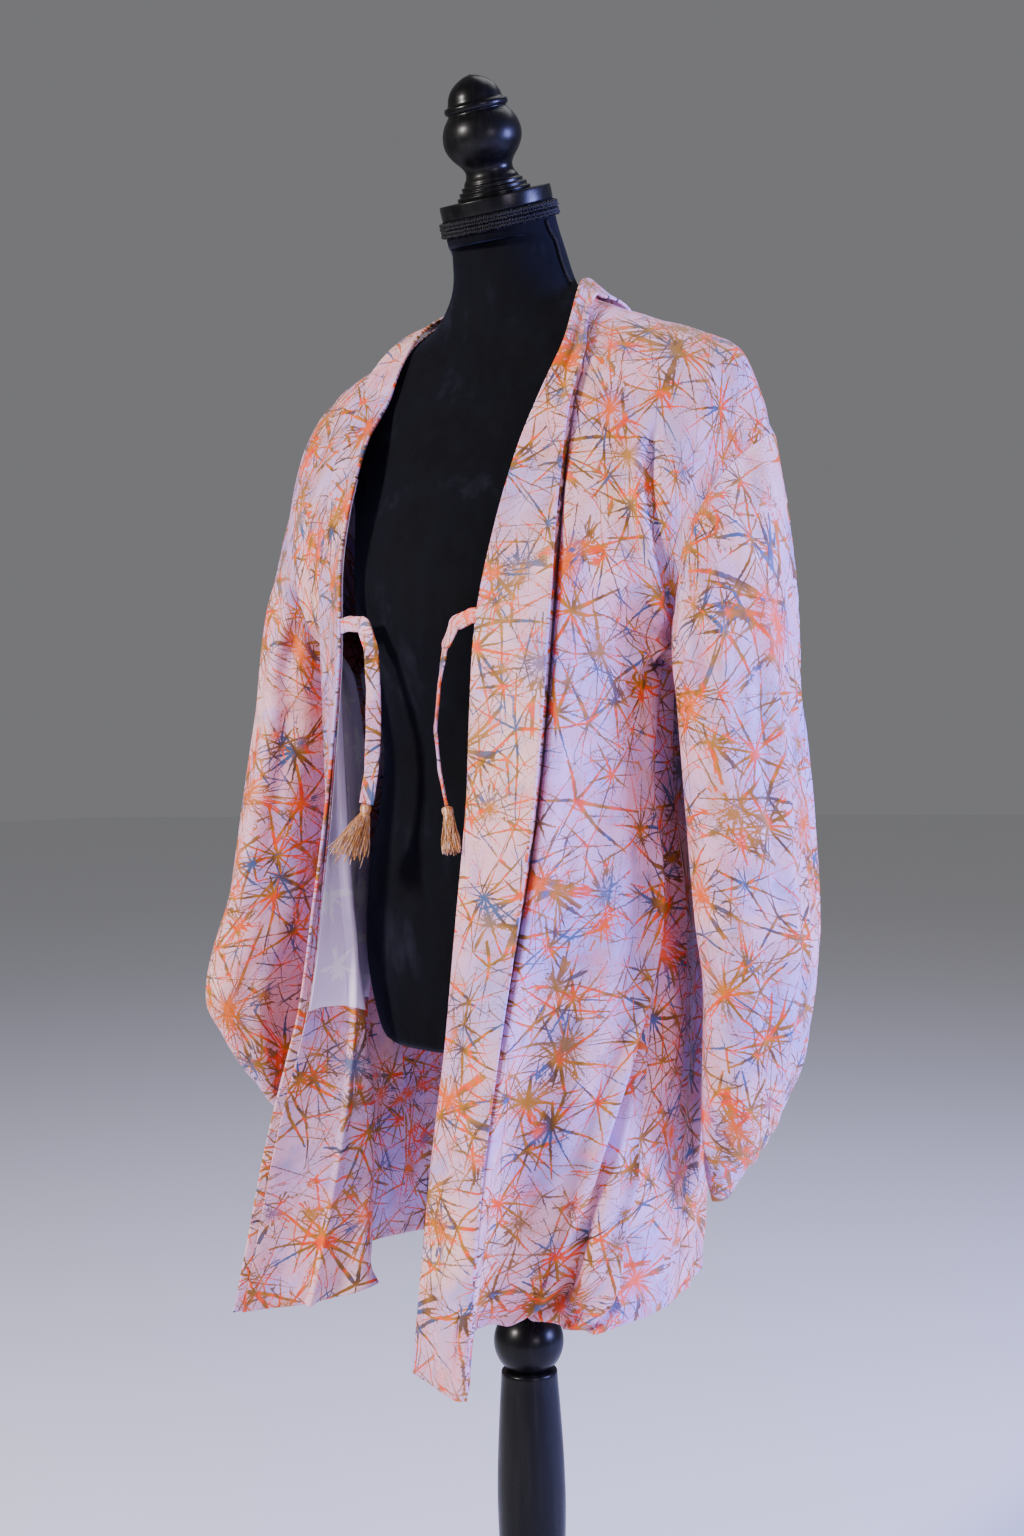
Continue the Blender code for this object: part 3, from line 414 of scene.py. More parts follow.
def rim_of(faces):
    """Edges used by one face only, as an array of pairs."""
    e = np.concatenate([faces[:, [k, (k + 1) % 4]] for k in range(4)])
    e = e[e[:, 0] != e[:, 1]]
    key = np.sort(e, axis=1)
    _, first, count = np.unique(key, axis=0, return_index=True, return_counts=True)
    return e[first[count == 1]]


class Cloth:
    """Open surfaces that share seam points; each becomes a thin shell with turned edges."""

    def __init__(self):
        self.parts = {}
        self.shared = {}
        self.meet = {}

    def add(self, name, verts, faces, uv):
        v = np.asarray(verts, float)
        f = np.asarray([tuple(q) + (q[-1],) * (4 - len(q)) for q in faces])
        n = point_normals(v, f)
        self.parts[name] = (v, f, n, np.asarray(uv, float))
        for k in np.unique(rim_of(f)):
            key = tuple(np.round(v[k], 5))
            self.shared[key] = self.shared.get(key, 0) + n[k]
            self.meet.setdefault(key, set()).add(name)

    def add_grid(self, name, grid, cut, flip=False):
        self.add(name, grid.reshape(-1, 3), grid_faces(*grid.shape[:2], flip), cut.reshape(-1, 2))

    def normals(self, name):
        """Normals of a part's points, shared with its neighbours along smooth seams."""
        v, f, n, _ = self.parts[name]
        out = n.copy()
        for k in np.unique(rim_of(f)):
            both = self.shared[tuple(np.round(v[k], 5))]
            rest = both - n[k]
            if n[k].dot(rest) > -0.05 * norm(n[k]) * norm(rest):
                out[k] = both
        return unit(out)

    def shell(self, name, part, mats, inside=0, outside=0, wall=WALL, trim=SEAM * 0.55, lift=0.0):
        """Two walls and a rounded turned edge; inside and outside give the faces' material numbers."""
        v, f, n, uv = self.parts[part]
        nrm, own, rim = self.normals(part), unit(n), rim_of(f)
        used = np.unique(rim)
        out = np.zeros_like(v)
        d = unit(np.cross(v[rim[:, 1]] - v[rim[:, 0]], own[rim[:, 0]] + own[rim[:, 1]]))
        np.add.at(out, rim[:, 0], d)
        np.add.at(out, rim[:, 1], d)
        out = unit(out) * (norm(out, axis=1) > 1e-9)[:, None]
        sewn = np.zeros(len(v), bool)
        for k in used:
            sewn[k] = len(self.meet[tuple(np.round(v[k], 5))]) > 1
        r = np.where(sewn, 0.0, wall / 2)
        base = v - out * (np.where(sewn, 0.00006, trim) + r * 0.8)[:, None]
        outer, inner = base + nrm * lift, base + nrm * (lift - wall)
        c = len(v)
        faces = [tuple(q) if q[2] != q[3] else tuple(q[:3]) for q in f]
        faces += [tuple(k + c for k in q[::-1]) for q in faces]
        which = [*np.broadcast_to(outside, len(f)), *np.broadcast_to(inside, len(f))]
        verts, uvs, turn = [outer, inner], [uv, uv], [used]
        for i, a in enumerate(radians(deg) for deg in (45, 0, -45)):
            p = (outer[used] + inner[used]) / 2 + out[used] * (r[used] * 0.8 * cos(a))[:, None]
            verts.append(p + (outer[used] - inner[used]) / 2 * sin(a))
            uvs.append(uv[used])
            turn.append(2 * c + i * len(used) + np.arange(len(used)))
        turn.append(used + c)
        place = {k: i for i, k in enumerate(used)}
        for a, b in rim:
            i, j = place[a], place[b]
            faces += [(top[j], top[i], under[i], under[j]) for top, under in zip(turn[:-1], turn[1:])]
        which += [0] * (len(faces) - len(which))
        obj = mesh_object(name, np.vstack(verts), faces, mats, np.vstack(uvs), which)
        flush = {tuple(sorted((a + k, b + k))) for a, b in rim if sewn[a] and sewn[b] for k in (0, c)}
        for line in obj.data.edges:
            line.use_edge_sharp = tuple(sorted(line.vertices)) in flush
        return obj


def cut_lengths(grid, start):
    """Flat places of a grid's points in metres: along each row, and down the rows."""
    u = np.concatenate([np.zeros((len(grid), 1)),
                        np.cumsum(norm(np.diff(grid, axis=1), axis=2), axis=1)], axis=1)
    step = norm(np.diff(grid, axis=0), axis=2).mean(axis=1)
    v = np.concatenate([[0], np.cumsum(step)])
    return np.stack([u + start[0], np.repeat(v[:, None], grid.shape[1], axis=1) + start[1]], axis=2)


# ======== materials ========
TURN = 6.28319            # a full turn in radians


class Val:
    """An output socket with the usual arithmetic: numbers by Math nodes, vectors by Vector Math."""

    def __init__(self, mat, socket):
        self.mat = mat
        self.socket = socket
        self.vector = socket.type in ("VECTOR", "RGBA")

    def _with(self, op, a, b):
        vec = any(isinstance(q, Val) and q.vector for q in (a, b))
        kind = "VectorMath" if vec else "Math"
        if vec and op == "MULTIPLY":
            for q, o in ((a, b), (b, a)):
                if not (isinstance(q, Val) and q.vector) and not isinstance(q, tuple):
                    return self.mat.node(kind, {"operation": "SCALE"}, {0: o, "Scale": q})
        return self.mat.node(kind, {"operation": op}, {0: a, 1: b})

    __add__ = __radd__ = lambda self, o: self._with("ADD", self, o)
    __mul__ = __rmul__ = lambda self, o: self._with("MULTIPLY", self, o)
    __sub__ = lambda self, o: self._with("SUBTRACT", self, o)
    __rsub__ = lambda self, o: self._with("SUBTRACT", o, self)
    __truediv__ = lambda self, o: self._with("DIVIDE", self, o)
    __rtruediv__ = lambda self, o: self._with("DIVIDE", o, self)
    __pow__ = lambda self, o: self._with("POWER", self, o)


class Finish:
    """One material's node tree, written as expressions."""

    def __init__(self, name, rough, color=(0.5, 0.5, 0.5), **constants):
        self.mat = bpy.data.materials.new(name)
        self.mat.use_nodes = True
        self.tree = self.mat.node_tree
        self.shader = self.tree.nodes["Principled BSDF"]
        self.shader.inputs["Base Color"].default_value = (*color, 1)
        self.shader.inputs["Roughness"].default_value = rough
        for key, value in constants.items():
            self.shader.inputs[key.replace("_", " ")].default_value = value

    def node(self, kind, settings=None, inputs=None, output=0):
        n = self.tree.nodes.new("ShaderNode" + kind)
        for key, value in (settings or {}).items():
            setattr(n, key, value)
        for key, value in (inputs or {}).items():
            s = n.inputs[key]
            if isinstance(value, Val):
                self.tree.links.new(value.socket, s)
            elif isinstance(value, tuple):
                s.default_value = value if s.type == "VECTOR" else (*value, 1)[:4]
            elif s.type == "VECTOR":
                s.default_value = (value,) * 3
            else:
                s.default_value = value
        return Val(self, n.outputs[output])

    def of(self, value, output):
        """Another output of the node that a value comes from."""
        return Val(self, value.socket.node.outputs[output])

    def feed(self, **values):
        for key, value in values.items():
            self.tree.links.new(value.socket, self.shader.inputs[key.replace("_", " ")])
        return self.mat

    def place(self, uv=True):
        """Where a point lies: on the flat cloth, or in the object."""
        self.dims = "2D" if uv else "3D"
        return self.node("TexCoord", output="UV" if uv else "Object")

    def fn(self, op, *args):
        return self.node("Math", {"operation": op}, dict(enumerate(args)))

    def vec(self, op, *args, output=0):
        return self.node("VectorMath", {"operation": op}, dict(enumerate(args)), output)

    def parts(self, v):
        x = self.node("SeparateXYZ", inputs={0: v})
        return x, self.of(x, 1), self.of(x, 2)

    def join(self, x, y, z=0):
        return self.node("CombineXYZ", inputs={0: x, 1: y, 2: z})

    def step(self, v, low, high, to_low=0, to_high=1):
        return self.node("MapRange", {"interpolation_type": "SMOOTHSTEP"},
                         {"Value": v, "From Min": low, "From Max": high, "To Min": to_low, "To Max": to_high})

    def noise(self, p, scale, detail=1, rough=0.5, dims=None, color=False):
        return self.node("TexNoise", {"noise_dimensions": dims or self.dims},
                         {"Vector": p, "Scale": scale, "Detail": detail, "Roughness": rough},
                         "Color" if color else 0)

    def cells(self, p, feature="F1", spread=1, output="Distance", **more):
        return self.node("TexVoronoi", {"feature": feature, "voronoi_dimensions": "2D"},
                         {"Vector": p, "Scale": 1, "Randomness": spread, **more}, output)

    def mix(self, f, a, b):
        return self.node("Mix", {"data_type": "RGBA", "clamp_factor": True}, {0: f, 6: a, 7: b}, 2)

    def blend(self, f, stops):
        """A colour ramp: stops are (place, colour)."""
        out = self.node("ValToRGB", inputs={0: f})
        e = out.socket.node.color_ramp.elements
        while len(e) < len(stops):
            e.new(0.5)
        for k, (at, c) in enumerate(stops):
            e[k].position = at
            e[k].color = (*c, 1)
        return out

    def bumps(self, *layers):
        """Bumps laid one over another: each is a height, a distance and a strength."""
        under = {}
        for height, distance, strength in layers:
            inputs = {"Height": height, "Distance": distance, "Strength": strength, **under}
            under = {"Normal": self.node("Bump", None, inputs)}
        return under["Normal"]


def turn(fin, p, degrees, stretch=1):
    """A coordinate turned about the cloth's face and drawn out across it."""
    a = radians(degrees)
    x, y, _ = fin.parts(p)
    return fin.join((x * cos(a) - y * sin(a)) * stretch, x * sin(a) + y * cos(a))


def bursts(fin, p, cell, reach, seed, rays=3, sharp=3.2, core=0.1):
    """Spiked stars, one in each cell: how far inside a star each point is, a number for each star,
    and how far along its spikes the point lies."""
    q = p * (1 / cell) + (seed * 7.3, seed * 3.1, 0)
    pick = fin.cells(q, spread=0.85, output="Position")
    tone = fin.of(pick, "Color")
    d = (q - pick) * cell
    r = fin.vec("LENGTH", d, output="Value")
    rnd, size, _ = fin.parts(tone)
    ring = fin.vec("NORMALIZE", d) * rays + tone * 40
    ridge = 1 - fin.fn("ABSOLUTE", fin.noise(ring, 1, 1, 0.6, "3D") * 2 - 1) * 1.9
    slow = fin.noise(ring + (9, 2, 5), 0.8, 1, 0.5, "3D")
    length = (fin.fn("MAXIMUM", ridge, 0) ** sharp) * fin.step(slow, 0.36, 0.64, 0.22, 1.25)
    wide = reach * fin.step(size, 0, 1, 0.45, 1)
    return wide * (length + core) - r, rnd, r / wide


def rays(fin, p, cell, reach, seed, count, wide, core=0.0012):
    """Fine straight lines that run out from a knot in each cell and taper to their tips: half their
    width at each point, in metres."""
    q = p * (1 / cell) + (seed * 5.3, seed * 8.1, 0)
    pick = fin.cells(q, spread=0.95, output="Position")
    tone = fin.of(pick, "Color")
    x, y, _ = fin.parts((q - pick) * cell)
    r = fin.fn("SQRT", x * x + y * y)
    rnd, size, _ = fin.parts(tone)
    turn_by = fin.fn("ARCTAN2", y, x) * (count / TURN) + size * count
    sector = fin.fn("FLOOR", turn_by)
    own = fin.node("TexWhiteNoise", {"noise_dimensions": "3D"},
                   {"Vector": fin.join(fin.fn("FLOORED_MODULO", sector, count), rnd * 91, seed)}, 1)
    lean, long, heavy = fin.parts(own)
    off = r * fin.fn("SINE", (turn_by - sector - lean * 0.7 - 0.15) * (TURN / count))
    half = (1 - r / (long * reach * 0.75 + reach * 0.25)) * (heavy * 0.8 + 0.35) * wide
    return fin.fn("MAXIMUM", half - fin.fn("ABSOLUTE", off), core - r)


def web(fin, p, cell, seed, angle, stretch, thin, soft=0.8):
    """Long tapering lines that meet in webbed knots: half their width at each point, in metres."""
    q = turn(fin, p, angle, stretch) * (1 / cell) + (seed * 5.7, seed * 9.2, 0)
    plain = fin.cells(q)
    rounded = fin.cells(q, "SMOOTH_F1", Smoothness=soft)
    return (plain - rounded - 0.125 * soft) * cell + thin


def printed_silk(name="printed_silk", dim=0):
    """Pale mauve silk printed all over with spiked bursts and fine thorny lines; dim darkens it as painted
    shade.
    """
    f = Finish(name, 0.52, Sheen_Weight=0.07, Sheen_Roughness=0.4, Specular_IOR_Level=0.26)
    p = f.place()
    sway = (f.noise(p, 12, 1, color=True) - (0.5, 0.5, 0.5)) * 0.012
    rag = (f.noise(p, 230, 1, color=True) - (0.5, 0.5, 0.5)) * 0.0014
    w = p + sway + rag
    cloud = f.noise(p + (3, 1, 0), 7, 2)
    tint = f.noise(p + (9, 4, 0), 21, 2)
    ground = f.blend(cloud, [(0.3, (0.49, 0.35, 0.74)), (0.46, (0.66, 0.39, 0.62)),
                             (0.6, (0.8, 0.43, 0.54)), (0.76, (0.85, 0.51, 0.5))])
    ground = f.mix(f.step(tint, 0.55, 0.7) * 0.45, ground, (0.38, 0.31, 0.8))
    # soft pools of dye
    pool = f.step(f.noise(w + (6, 3, 0), 34, 2), 0.54, 0.72)
    dye = f.blend(f.noise(p + (4, 7, 0), 15, 1),
                  [(0.38, (0.22, 0.27, 0.52)), (0.47, (0.85, 0.18, 0.22)), (0.54, (0.84, 0.22, 0.13)),
                   (0.6, (0.5, 0.28, 0.12))])
    ground = f.mix(pool * 0.42, ground, dye)
    # fine lace of crackle in patches
    lace = f.cells(w * 430, "DISTANCE_TO_EDGE")
    patch = f.step(f.noise(p + (5, 8, 0), 26, 2), 0.47, 0.58)
    hue = f.noise(p + (1, 6, 0), 12, 1)
    lace_tone = f.blend(hue, [(0.4, (0.72, 0.12, 0.18)), (0.52, (0.2, 0.25, 0.46)),
                              (0.62, (0.5, 0.2, 0.07))])
    color = f.mix(f.step(lace, 0.04, 0.2, 1, 0) * patch * 0.5, ground, lace_tone)
    # branching lines, long straight ones, then knots of spikes on top
    tones = [(0.3, (0.05, 0.09, 0.22)), (0.37, (0.11, 0.05, 0.012)), (0.43, (0.26, 0.105, 0.005)),
             (0.49, (0.44, 0.165, 0.005)), (0.53, (0.86, 0.095, 0)), (0.57, (0.8, 0.045, 0.01)),
             (0.61, (0.28, 0.115, 0.006)), (0.66, (0.22, 0.1, 0.012)), (0.71, (0.06, 0.1, 0.23))]
    tone_a = f.blend(f.noise(p + (2, 2, 0), 24, 1.5, 0.6), tones)
    tone_b = f.blend(f.noise(p + (8, 5, 0), 33, 1.5, 0.6), tones)
    tone_c = f.blend(f.noise(p + (3, 9, 0), 28, 1.5, 0.6), tones)
    thorn = (f.noise(p, 520, 1) - 0.5) * 0.0009
    for cell, thin, seed, angle, stretch, soft, depth, tone in (
            (0.03, 0.0002, 3, 72, 0.6, 0.1, 0.75, tone_b),
            (0.052, 0.0004, 5, 12, 0.42, 0.22, 0.9, tone_a)):
        half = web(f, w, cell, seed, angle, stretch, thin, soft)
        wane = f.noise(p + (seed, 3, 0), 0.9 / cell, 1)
        half = half - f.step(wane, 0.4, 0.52, 0.0008, 0) + thorn
        color = f.mix(f.step(half, -0.00015, 0.0002) * depth, color, tone)
    for cell, reach, seed, count, wide, depth, tone in (
            (0.038, 0.04, 1, 5, 0.0008, 0.88, tone_c), (0.06, 0.066, 2, 6, 0.0012, 0.94, tone_a),
            (0.074, 0.09, 3, 5, 0.00145, 0.97, tone_b), (0.105, 0.13, 4, 6, 0.00185, 0.98, tone_c),
            (0.096, 0.094, 6, 12, 0.00195, 0.99, tone_a), (0.074, 0.066, 7, 10, 0.0017, 0.98, tone_b)):
        half = rays(f, w, cell, reach, seed, count, wide)
        color = f.mix(f.step(half + thorn * 0.6, -0.0001, 0.00018) * depth, color, tone)
    for cell, reach, seed, spikes, sharp, low in (
            (0.092, 0.064, 1, 3.6, 6, 0.25), (0.124, 0.092, 2, 4.4, 7.5, 0.3),
            (0.06, 0.034, 3, 3, 4.5, 0.45)):
        depth, rnd, at = bursts(f, w, cell, reach, seed, spikes, sharp, 0.07)
        shape = f.step(depth, -0.00015, 0.00035)
        tone = f.blend(rnd, [(0, (0.88, 0.092, 0)), (0.22, (0.74, 0.125, 0)),
                             (0.38, (0.4, 0.155, 0.006)), (0.64, (0.28, 0.125, 0.006)),
                             (0.8, (0.08, 0.12, 0.26)), (0.9, (0.95, 0.1, 0.03))])
        tip = f.mix(f.step(at, 0.05, 0.38), tone, tone_a)
        haze = f.step(at, 0, 0.42, 1, 0) * f.step(f.noise(w, 90, 2), 0.36, 0.62)
        shown = f.step(f.fn("FRACT", rnd * 7.13), low, low + 0.02)
        color = f.mix(haze * shown * 0.55, color, tone)
        color = f.mix(shape * shown * 0.93, color, tip)
    # painted shade: dim mixes the silk towards a dark mulberry brown
    if dim:
        color = f.mix(dim, color, (0.045, 0.018, 0.03))
    x, y, _ = f.parts(p)
    weave = f.noise(f.join(x * 0.55, y), 2600, 2, 0.8)
    crimp = f.noise(f.join(x, y * 0.6), 420, 2, 0.6)
    soft = f.noise(p, 38, 3, 0.5)
    rough = f.step(weave, 0.3, 0.7, 0.46, 0.6)
    nrm = f.bumps((weave, 0.00012, 0.55), (crimp, 0.00035, 0.35), (soft, 0.0036, 0.55))
    return f.feed(Base_Color=color, Roughness=rough, Normal=nrm)


def lilac_satin():
    """Lining satin with a faint figured weave of leaf sprays."""
    f = Finish("lilac_satin", 0.3, Sheen_Weight=0.05, Specular_IOR_Level=0.6, Anisotropic=0.4)
    p = f.place()
    depth, _, at = bursts(f, p, 0.05, 0.026, 6, 1.6, 1.4)
    vein = f.fn("ABSOLUTE", f.fn("SINE", at * 26))
    figure = f.step(depth, -0.0003, 0.0006) * f.step(vein, 0.15, 0.4, 0.45, 1)
    soft = f.noise(p, 9, 2)
    color = f.mix(figure * 0.85, f.mix(soft, (0.78, 0.64, 0.93), (0.87, 0.73, 0.94)), (0.99, 0.93, 0.99))
    x, y, _ = f.parts(p)
    weave = f.noise(f.join(x, y * 0.25), 2400, 1, 0.7)
    nrm = f.bumps((weave, 0.00008, 0.4), (f.noise(p, 26, 2), 0.004, 0.35))
    return f.feed(Base_Color=color, Roughness=0.3 + figure * 0.16, Normal=nrm)


def black_velvet():
    """Black pile, brushed lighter and darker."""
    f = Finish("black_velvet", 0.85, Sheen_Weight=0.14, Sheen_Roughness=0.3, Specular_IOR_Level=0.08)
    f.shader.inputs["Sheen Tint"].default_value = (0.4, 0.46, 0.8, 1)
    p = f.place(False)
    nap = f.noise(p, 16, 4, 0.6)
    stroke = f.noise(p * (1, 1, 0.35), 70, 2, 0.6)
    pile = f.noise(p, 1500, 1, 0.7)
    color = f.blend(nap * 0.7 + stroke * 0.3, [
        (0.35, (0.0012, 0.0013, 0.0022)), (0.55, (0.003, 0.0034, 0.006)), (0.7, (0.01, 0.011, 0.018))])
    nrm = f.bumps((pile, 0.0006, 0.7), (nap, 0.006, 0.35))
    return f.feed(Base_Color=color, Roughness=f.step(nap, 0.3, 0.7, 0.74, 0.92), Normal=nrm)


def black_wood():
    """Turned wood under satin black lacquer, rubbed a little in patches."""
    f = Finish("black_wood", 0.3, Coat_Weight=0.05, Coat_Roughness=0.2, Specular_IOR_Level=0.14)
    p = f.place(False)
    grain = f.noise(p * (1, 1, 0.06), 160, 3, 0.6)
    smear = f.noise(p, 22, 3, 0.55)
    dust = f.noise(p, 420, 2, 0.6)
    color = f.mix(f.step(grain, 0.45, 0.75), (0.0025, 0.0025, 0.003), (0.007, 0.0065, 0.0075))
    color = f.mix(f.step(smear, 0.55, 0.75) * f.step(dust, 0.5, 0.7) * 0.5, color, (0.016, 0.015, 0.017))
    rough = f.step(smear, 0.35, 0.7, 0.26, 0.4) + f.step(dust, 0.55, 0.7) * 0.05
    nrm = f.bumps((grain, 0.00022, 0.35), (dust, 0.00008, 0.25))
    return f.feed(Base_Color=color, Roughness=rough, Normal=nrm)


def black_braid():
    """Black gimp thread."""
    f = Finish("black_braid", 0.5, Sheen_Weight=0.05, Sheen_Roughness=0.4, Specular_IOR_Level=0.25)
    p = f.place(False)
    lay = f.noise(p * (1, 1, 1.6), 1900, 1, 0.6)
    tone = f.noise(p, 120, 2, 0.5)
    color = f.mix(tone, (0.0015, 0.0016, 0.0025), (0.006, 0.006, 0.01))
    return f.feed(Base_Color=color, Roughness=f.step(lay, 0.3, 0.7, 0.45, 0.65),
                  Normal=f.bumps((lay, 0.0003, 0.6)))


def ochre_thread():
    """Silk tassel thread, ochre with paler and browner strands."""
    f = Finish("ochre_thread", 0.42, Sheen_Weight=0.2, Sheen_Roughness=0.35, Specular_IOR_Level=0.45)
    p = f.place(False)
    strand = f.noise(p * (1, 1, 0.05), 560, 1, 0.6)
    tone = f.noise(p, 110, 2, 0.5)
    color = f.blend(strand * 0.75 + tone * 0.25, [
        (0.36, (0.74, 0.44, 0.36)), (0.42, (0.52, 0.21, 0.03)), (0.47, (0.24, 0.09, 0.02)),
        (0.53, (0.62, 0.24, 0.03)), (0.58, (0.72, 0.45, 0.3)), (0.65, (0.22, 0.19, 0.32))])
    return f.feed(Base_Color=color, Normal=f.bumps((strand, 0.0003, 0.5)))


SILK = printed_silk()
# painted shade: darker copies of the silk for the shadow that the band's free edge casts on the body
BAND_SHADOW_SILK = printed_silk("silk_in_band_shadow", 0.78)
BAND_SHADOW_FADE = printed_silk("silk_at_band_shadow_edge", 0.4)
SATIN = lilac_satin()
VELVET = black_velvet()
WOOD = black_wood()
BRAID = black_braid()
THREAD = ochre_thread()


# ======== the jacket ========
def crease(grid, cut, normals, table):
    """Soft troughs and ridges: each row is a depth and a half width, then u, v points, all in mm."""
    out = np.zeros(grid.shape[:2])
    for depth, half, pts in table:
        line = spline(np.array(pts, float).reshape(-1, 2) / 1000,
                      np.linspace(0, len(pts) // 2 - 1, 12 * len(pts)))
        run = run_along(line)
        d = norm(cut[:, :, None] - line[None, None], axis=3)
        t = run[d.argmin(axis=2)] / run[-1]
        w = half / 1000 * (0.75 + 0.5 * t)
        out += depth / 1000 * np.exp(-(d.min(axis=2) / w) ** 2) * smooth(np.minimum(t, 1 - t) * 5)
    return grid + normals * out[..., None]


def ripple(cut, seed, long, wide, size):
    """Gentle uneven waves that run down the cloth."""
    rng = np.random.default_rng(seed)
    out = np.zeros(cut.shape[:2])
    for _ in range(7):
        a, b, phase = rng.uniform(-1, 1), rng.uniform(0.4, 1.6), rng.uniform(0, 6.3)
        out += np.sin(6.283 * (cut[..., 0] / (wide * b) + cut[..., 1] * a / long) + phase) / b ** 0.5
    return out / 3.2 * size


fv, ff = ring_mesh(form_rings(FORM_SIDES))
form_tree = BVHTree.FromPolygons([Vector(v) for v in fv], ff)

low = sum(ROWS_LOW)
neck_row = low + sum(ROWS_TOP[:6])
coarse = {"left": body_length(FRONT_LEFT, TOP_LEFT, BACK_LEFT),
          "right": body_length(FRONT_RIGHT, TOP_RIGHT, BACK_RIGHT)}
centre = (coarse["left"][neck_row:, 0] + coarse["right"][neck_row:, 0]) / 2
for side in coarse:
    coarse[side] = push_out(ease(push_out(coarse[side], form_tree, CLEAR), 2), form_tree, CLEAR)
    coarse[side][neck_row:, 0] = centre

# folds of the body lengths; one that reaches a hem runs on past it
BACK = [
    (-5, 13, (40, 1480, 46, 1620, 38, 1760, 30, 1920)),
    (3.5, 15, (78, 1420, 84, 1600, 80, 1740, 72, 1920)),
    (-4, 11, (118, 1520, 124, 1640, 116, 1760, 110, 1920)),
    (3, 12, (150, 1380, 158, 1560, 152, 1720, 150, 1920)),
    (-3, 16, (60, 1130, 82, 1210, 96, 1320, 90, 1420)),
    (-2.5, 12, (150, 1120, 132, 1200, 128, 1290, 140, 1380)),
]
CREASES = {
    "left": [
        (8, 7, (206, 490, 199, 371, 186, 302, 169, 226, 161, 162, 159, 104, 165, 45, 182, -70)),
        (-14, 4.6, (218, 480, 211, 371, 199, 302, 183, 226, 175, 162, 173, 104, 179, 45, 197, -70)),
        (6, 6, (213, 360, 216, 240, 211, 160, 209, 95, 221, 50, 241, -60)),
        (-10, 4.4, (224, 330, 227, 230, 224, 160, 223, 95, 235, 50, 256, -60)),
        (2.6, 15, (150, 540, 152, 400, 142, 300, 132, 200, 134, 90, 142, -80)),
        (-3, 14, (112, 600, 120, 420, 112, 300, 108, 200, 112, 90, 120, -80)),
        (5.5, 8, (84, 800, 95, 762, 110, 727, 121, 706, 136, 684, 152, 660, 176, 620)),
        (-9.5, 5.5, (98, 812, 109, 766, 125, 731, 137, 710, 150, 690, 166, 668, 190, 634)),
        (9, 9, (136, 596, 162, 601, 184, 610, 216, 632)),
        (-17, 5, (140, 566, 166, 574, 190, 586, 226, 616)),
        (9, 20, (140, 906, 170, 908, 200, 908, 230, 906, 290, 900)),
        (-2.5, 12, (70, 850, 84, 800, 88, 740, 84, 680)),
        (-18, 6.5, (209, 660, 210, 560, 211, 500, 213, 430, 214, 340, 216, 200)),
    ] + BACK,
    "right": [(d, w, tuple(v + (700, 300)[i % 2] for i, v in enumerate(p))) for d, w, p in BACK] + [
        (3.5, 9, (790, 1120, 806, 1050, 820, 990, 846, 930, 870, 890)),
        (-5, 8, (802, 1128, 820, 1056, 836, 1000, 862, 944, 884, 902)),
        (-3, 12, (790, 880, 800, 760, 796, 640, 790, 520, 788, 420)),
        (3, 14, (830, 860, 838, 740, 832, 600, 826, 460, 824, 220)),
        (-4, 10, (862, 780, 868, 640, 862, 500, 858, 380, 850, 220)),
        (3, 10, (886, 760, 896, 600, 890, 460, 886, 220)),
    ],
}
BAND_IN = {"left": 0.27, "right": 0}      # share of its width that the band loses up to the neck
c_row = low + sum(ROWS_TOP[:3])


def narrowed(row, side):
    """Share of the band's full width at a row of the coarse grid."""
    return 1 - BAND_IN[side] * smooth((np.asarray(row, float) - c_row + 5) / 5)


length, cut = {}, {}
for side, start, seed in (("left", (0.0, 0.0), 3), ("right", (0.7, 0.3), 8)):
    plain = finer(coarse[side], FINE_ROW, FINE_COL)
    m, n = plain.shape[:2]
    cut[side] = cut_lengths(plain, start)
    nrm = grid_normals(plain, side == "right")
    rows, ends = np.arange(m)[:, None], from_ends(m)[:, None]
    hang = clip01((low * FINE_ROW - ends) / (low * FINE_ROW))
    free = clip01(from_ends(n)[None, :] / 6)
    wave = ripple(straightened(cut[side]), seed, 0.9, 0.075, 0.002) * (0.25 + hang) * free
    wave *= 0.35 + 0.65 * clip01(ends / 14)
    g = crease(plain + nrm * wave[..., None], cut[side], nrm, CREASES[side])
    # the body lies a little lower just past the edge of the folded band
    edge = FINE_COL * (BAND_COLS - 1) * narrowed(rows / FINE_ROW, side)
    past = np.exp(-((np.arange(n)[None] - edge - 1.0) / 1.3) ** 2)
    worn = np.clip((low + 5) * FINE_ROW - rows, 0, 10) / 10
    g = push_out(g - nrm * (past * worn * BAND_TROUGH)[..., None], form_tree, CLEAR)
    g[neck_row * FINE_ROW:, 0] = plain[neck_row * FINE_ROW:, 0]
    length[side] = g

cloth = Cloth()
for side in length:
    cloth.add_grid("body_" + side, length[side], straightened(cut[side]), side == "right")

# ---- gussets
top = low * FINE_ROW
for side, start in (("left", (1.5, 0.1)), ("right", (1.7, 0.6))):
    front, back = length[side][:top + 1, -1], length[side][::-1][:top + 1, -1]
    f = np.linspace(0, 1, GUSSET_COLS)
    g = front[:, None] * (1 - f)[None, :, None] + back[:, None] * f[None, :, None]
    full = np.maximum(0.06 * norm(front - back, axis=1) - 0.001, 0) * 1.1
    g[:, :, 0] += full[:, None] * np.sin(pi * f)[None] * LEFT_RIGHT[side]
    cloth.add_grid("gusset_" + side, g, cut_lengths(g, start), side == "right")


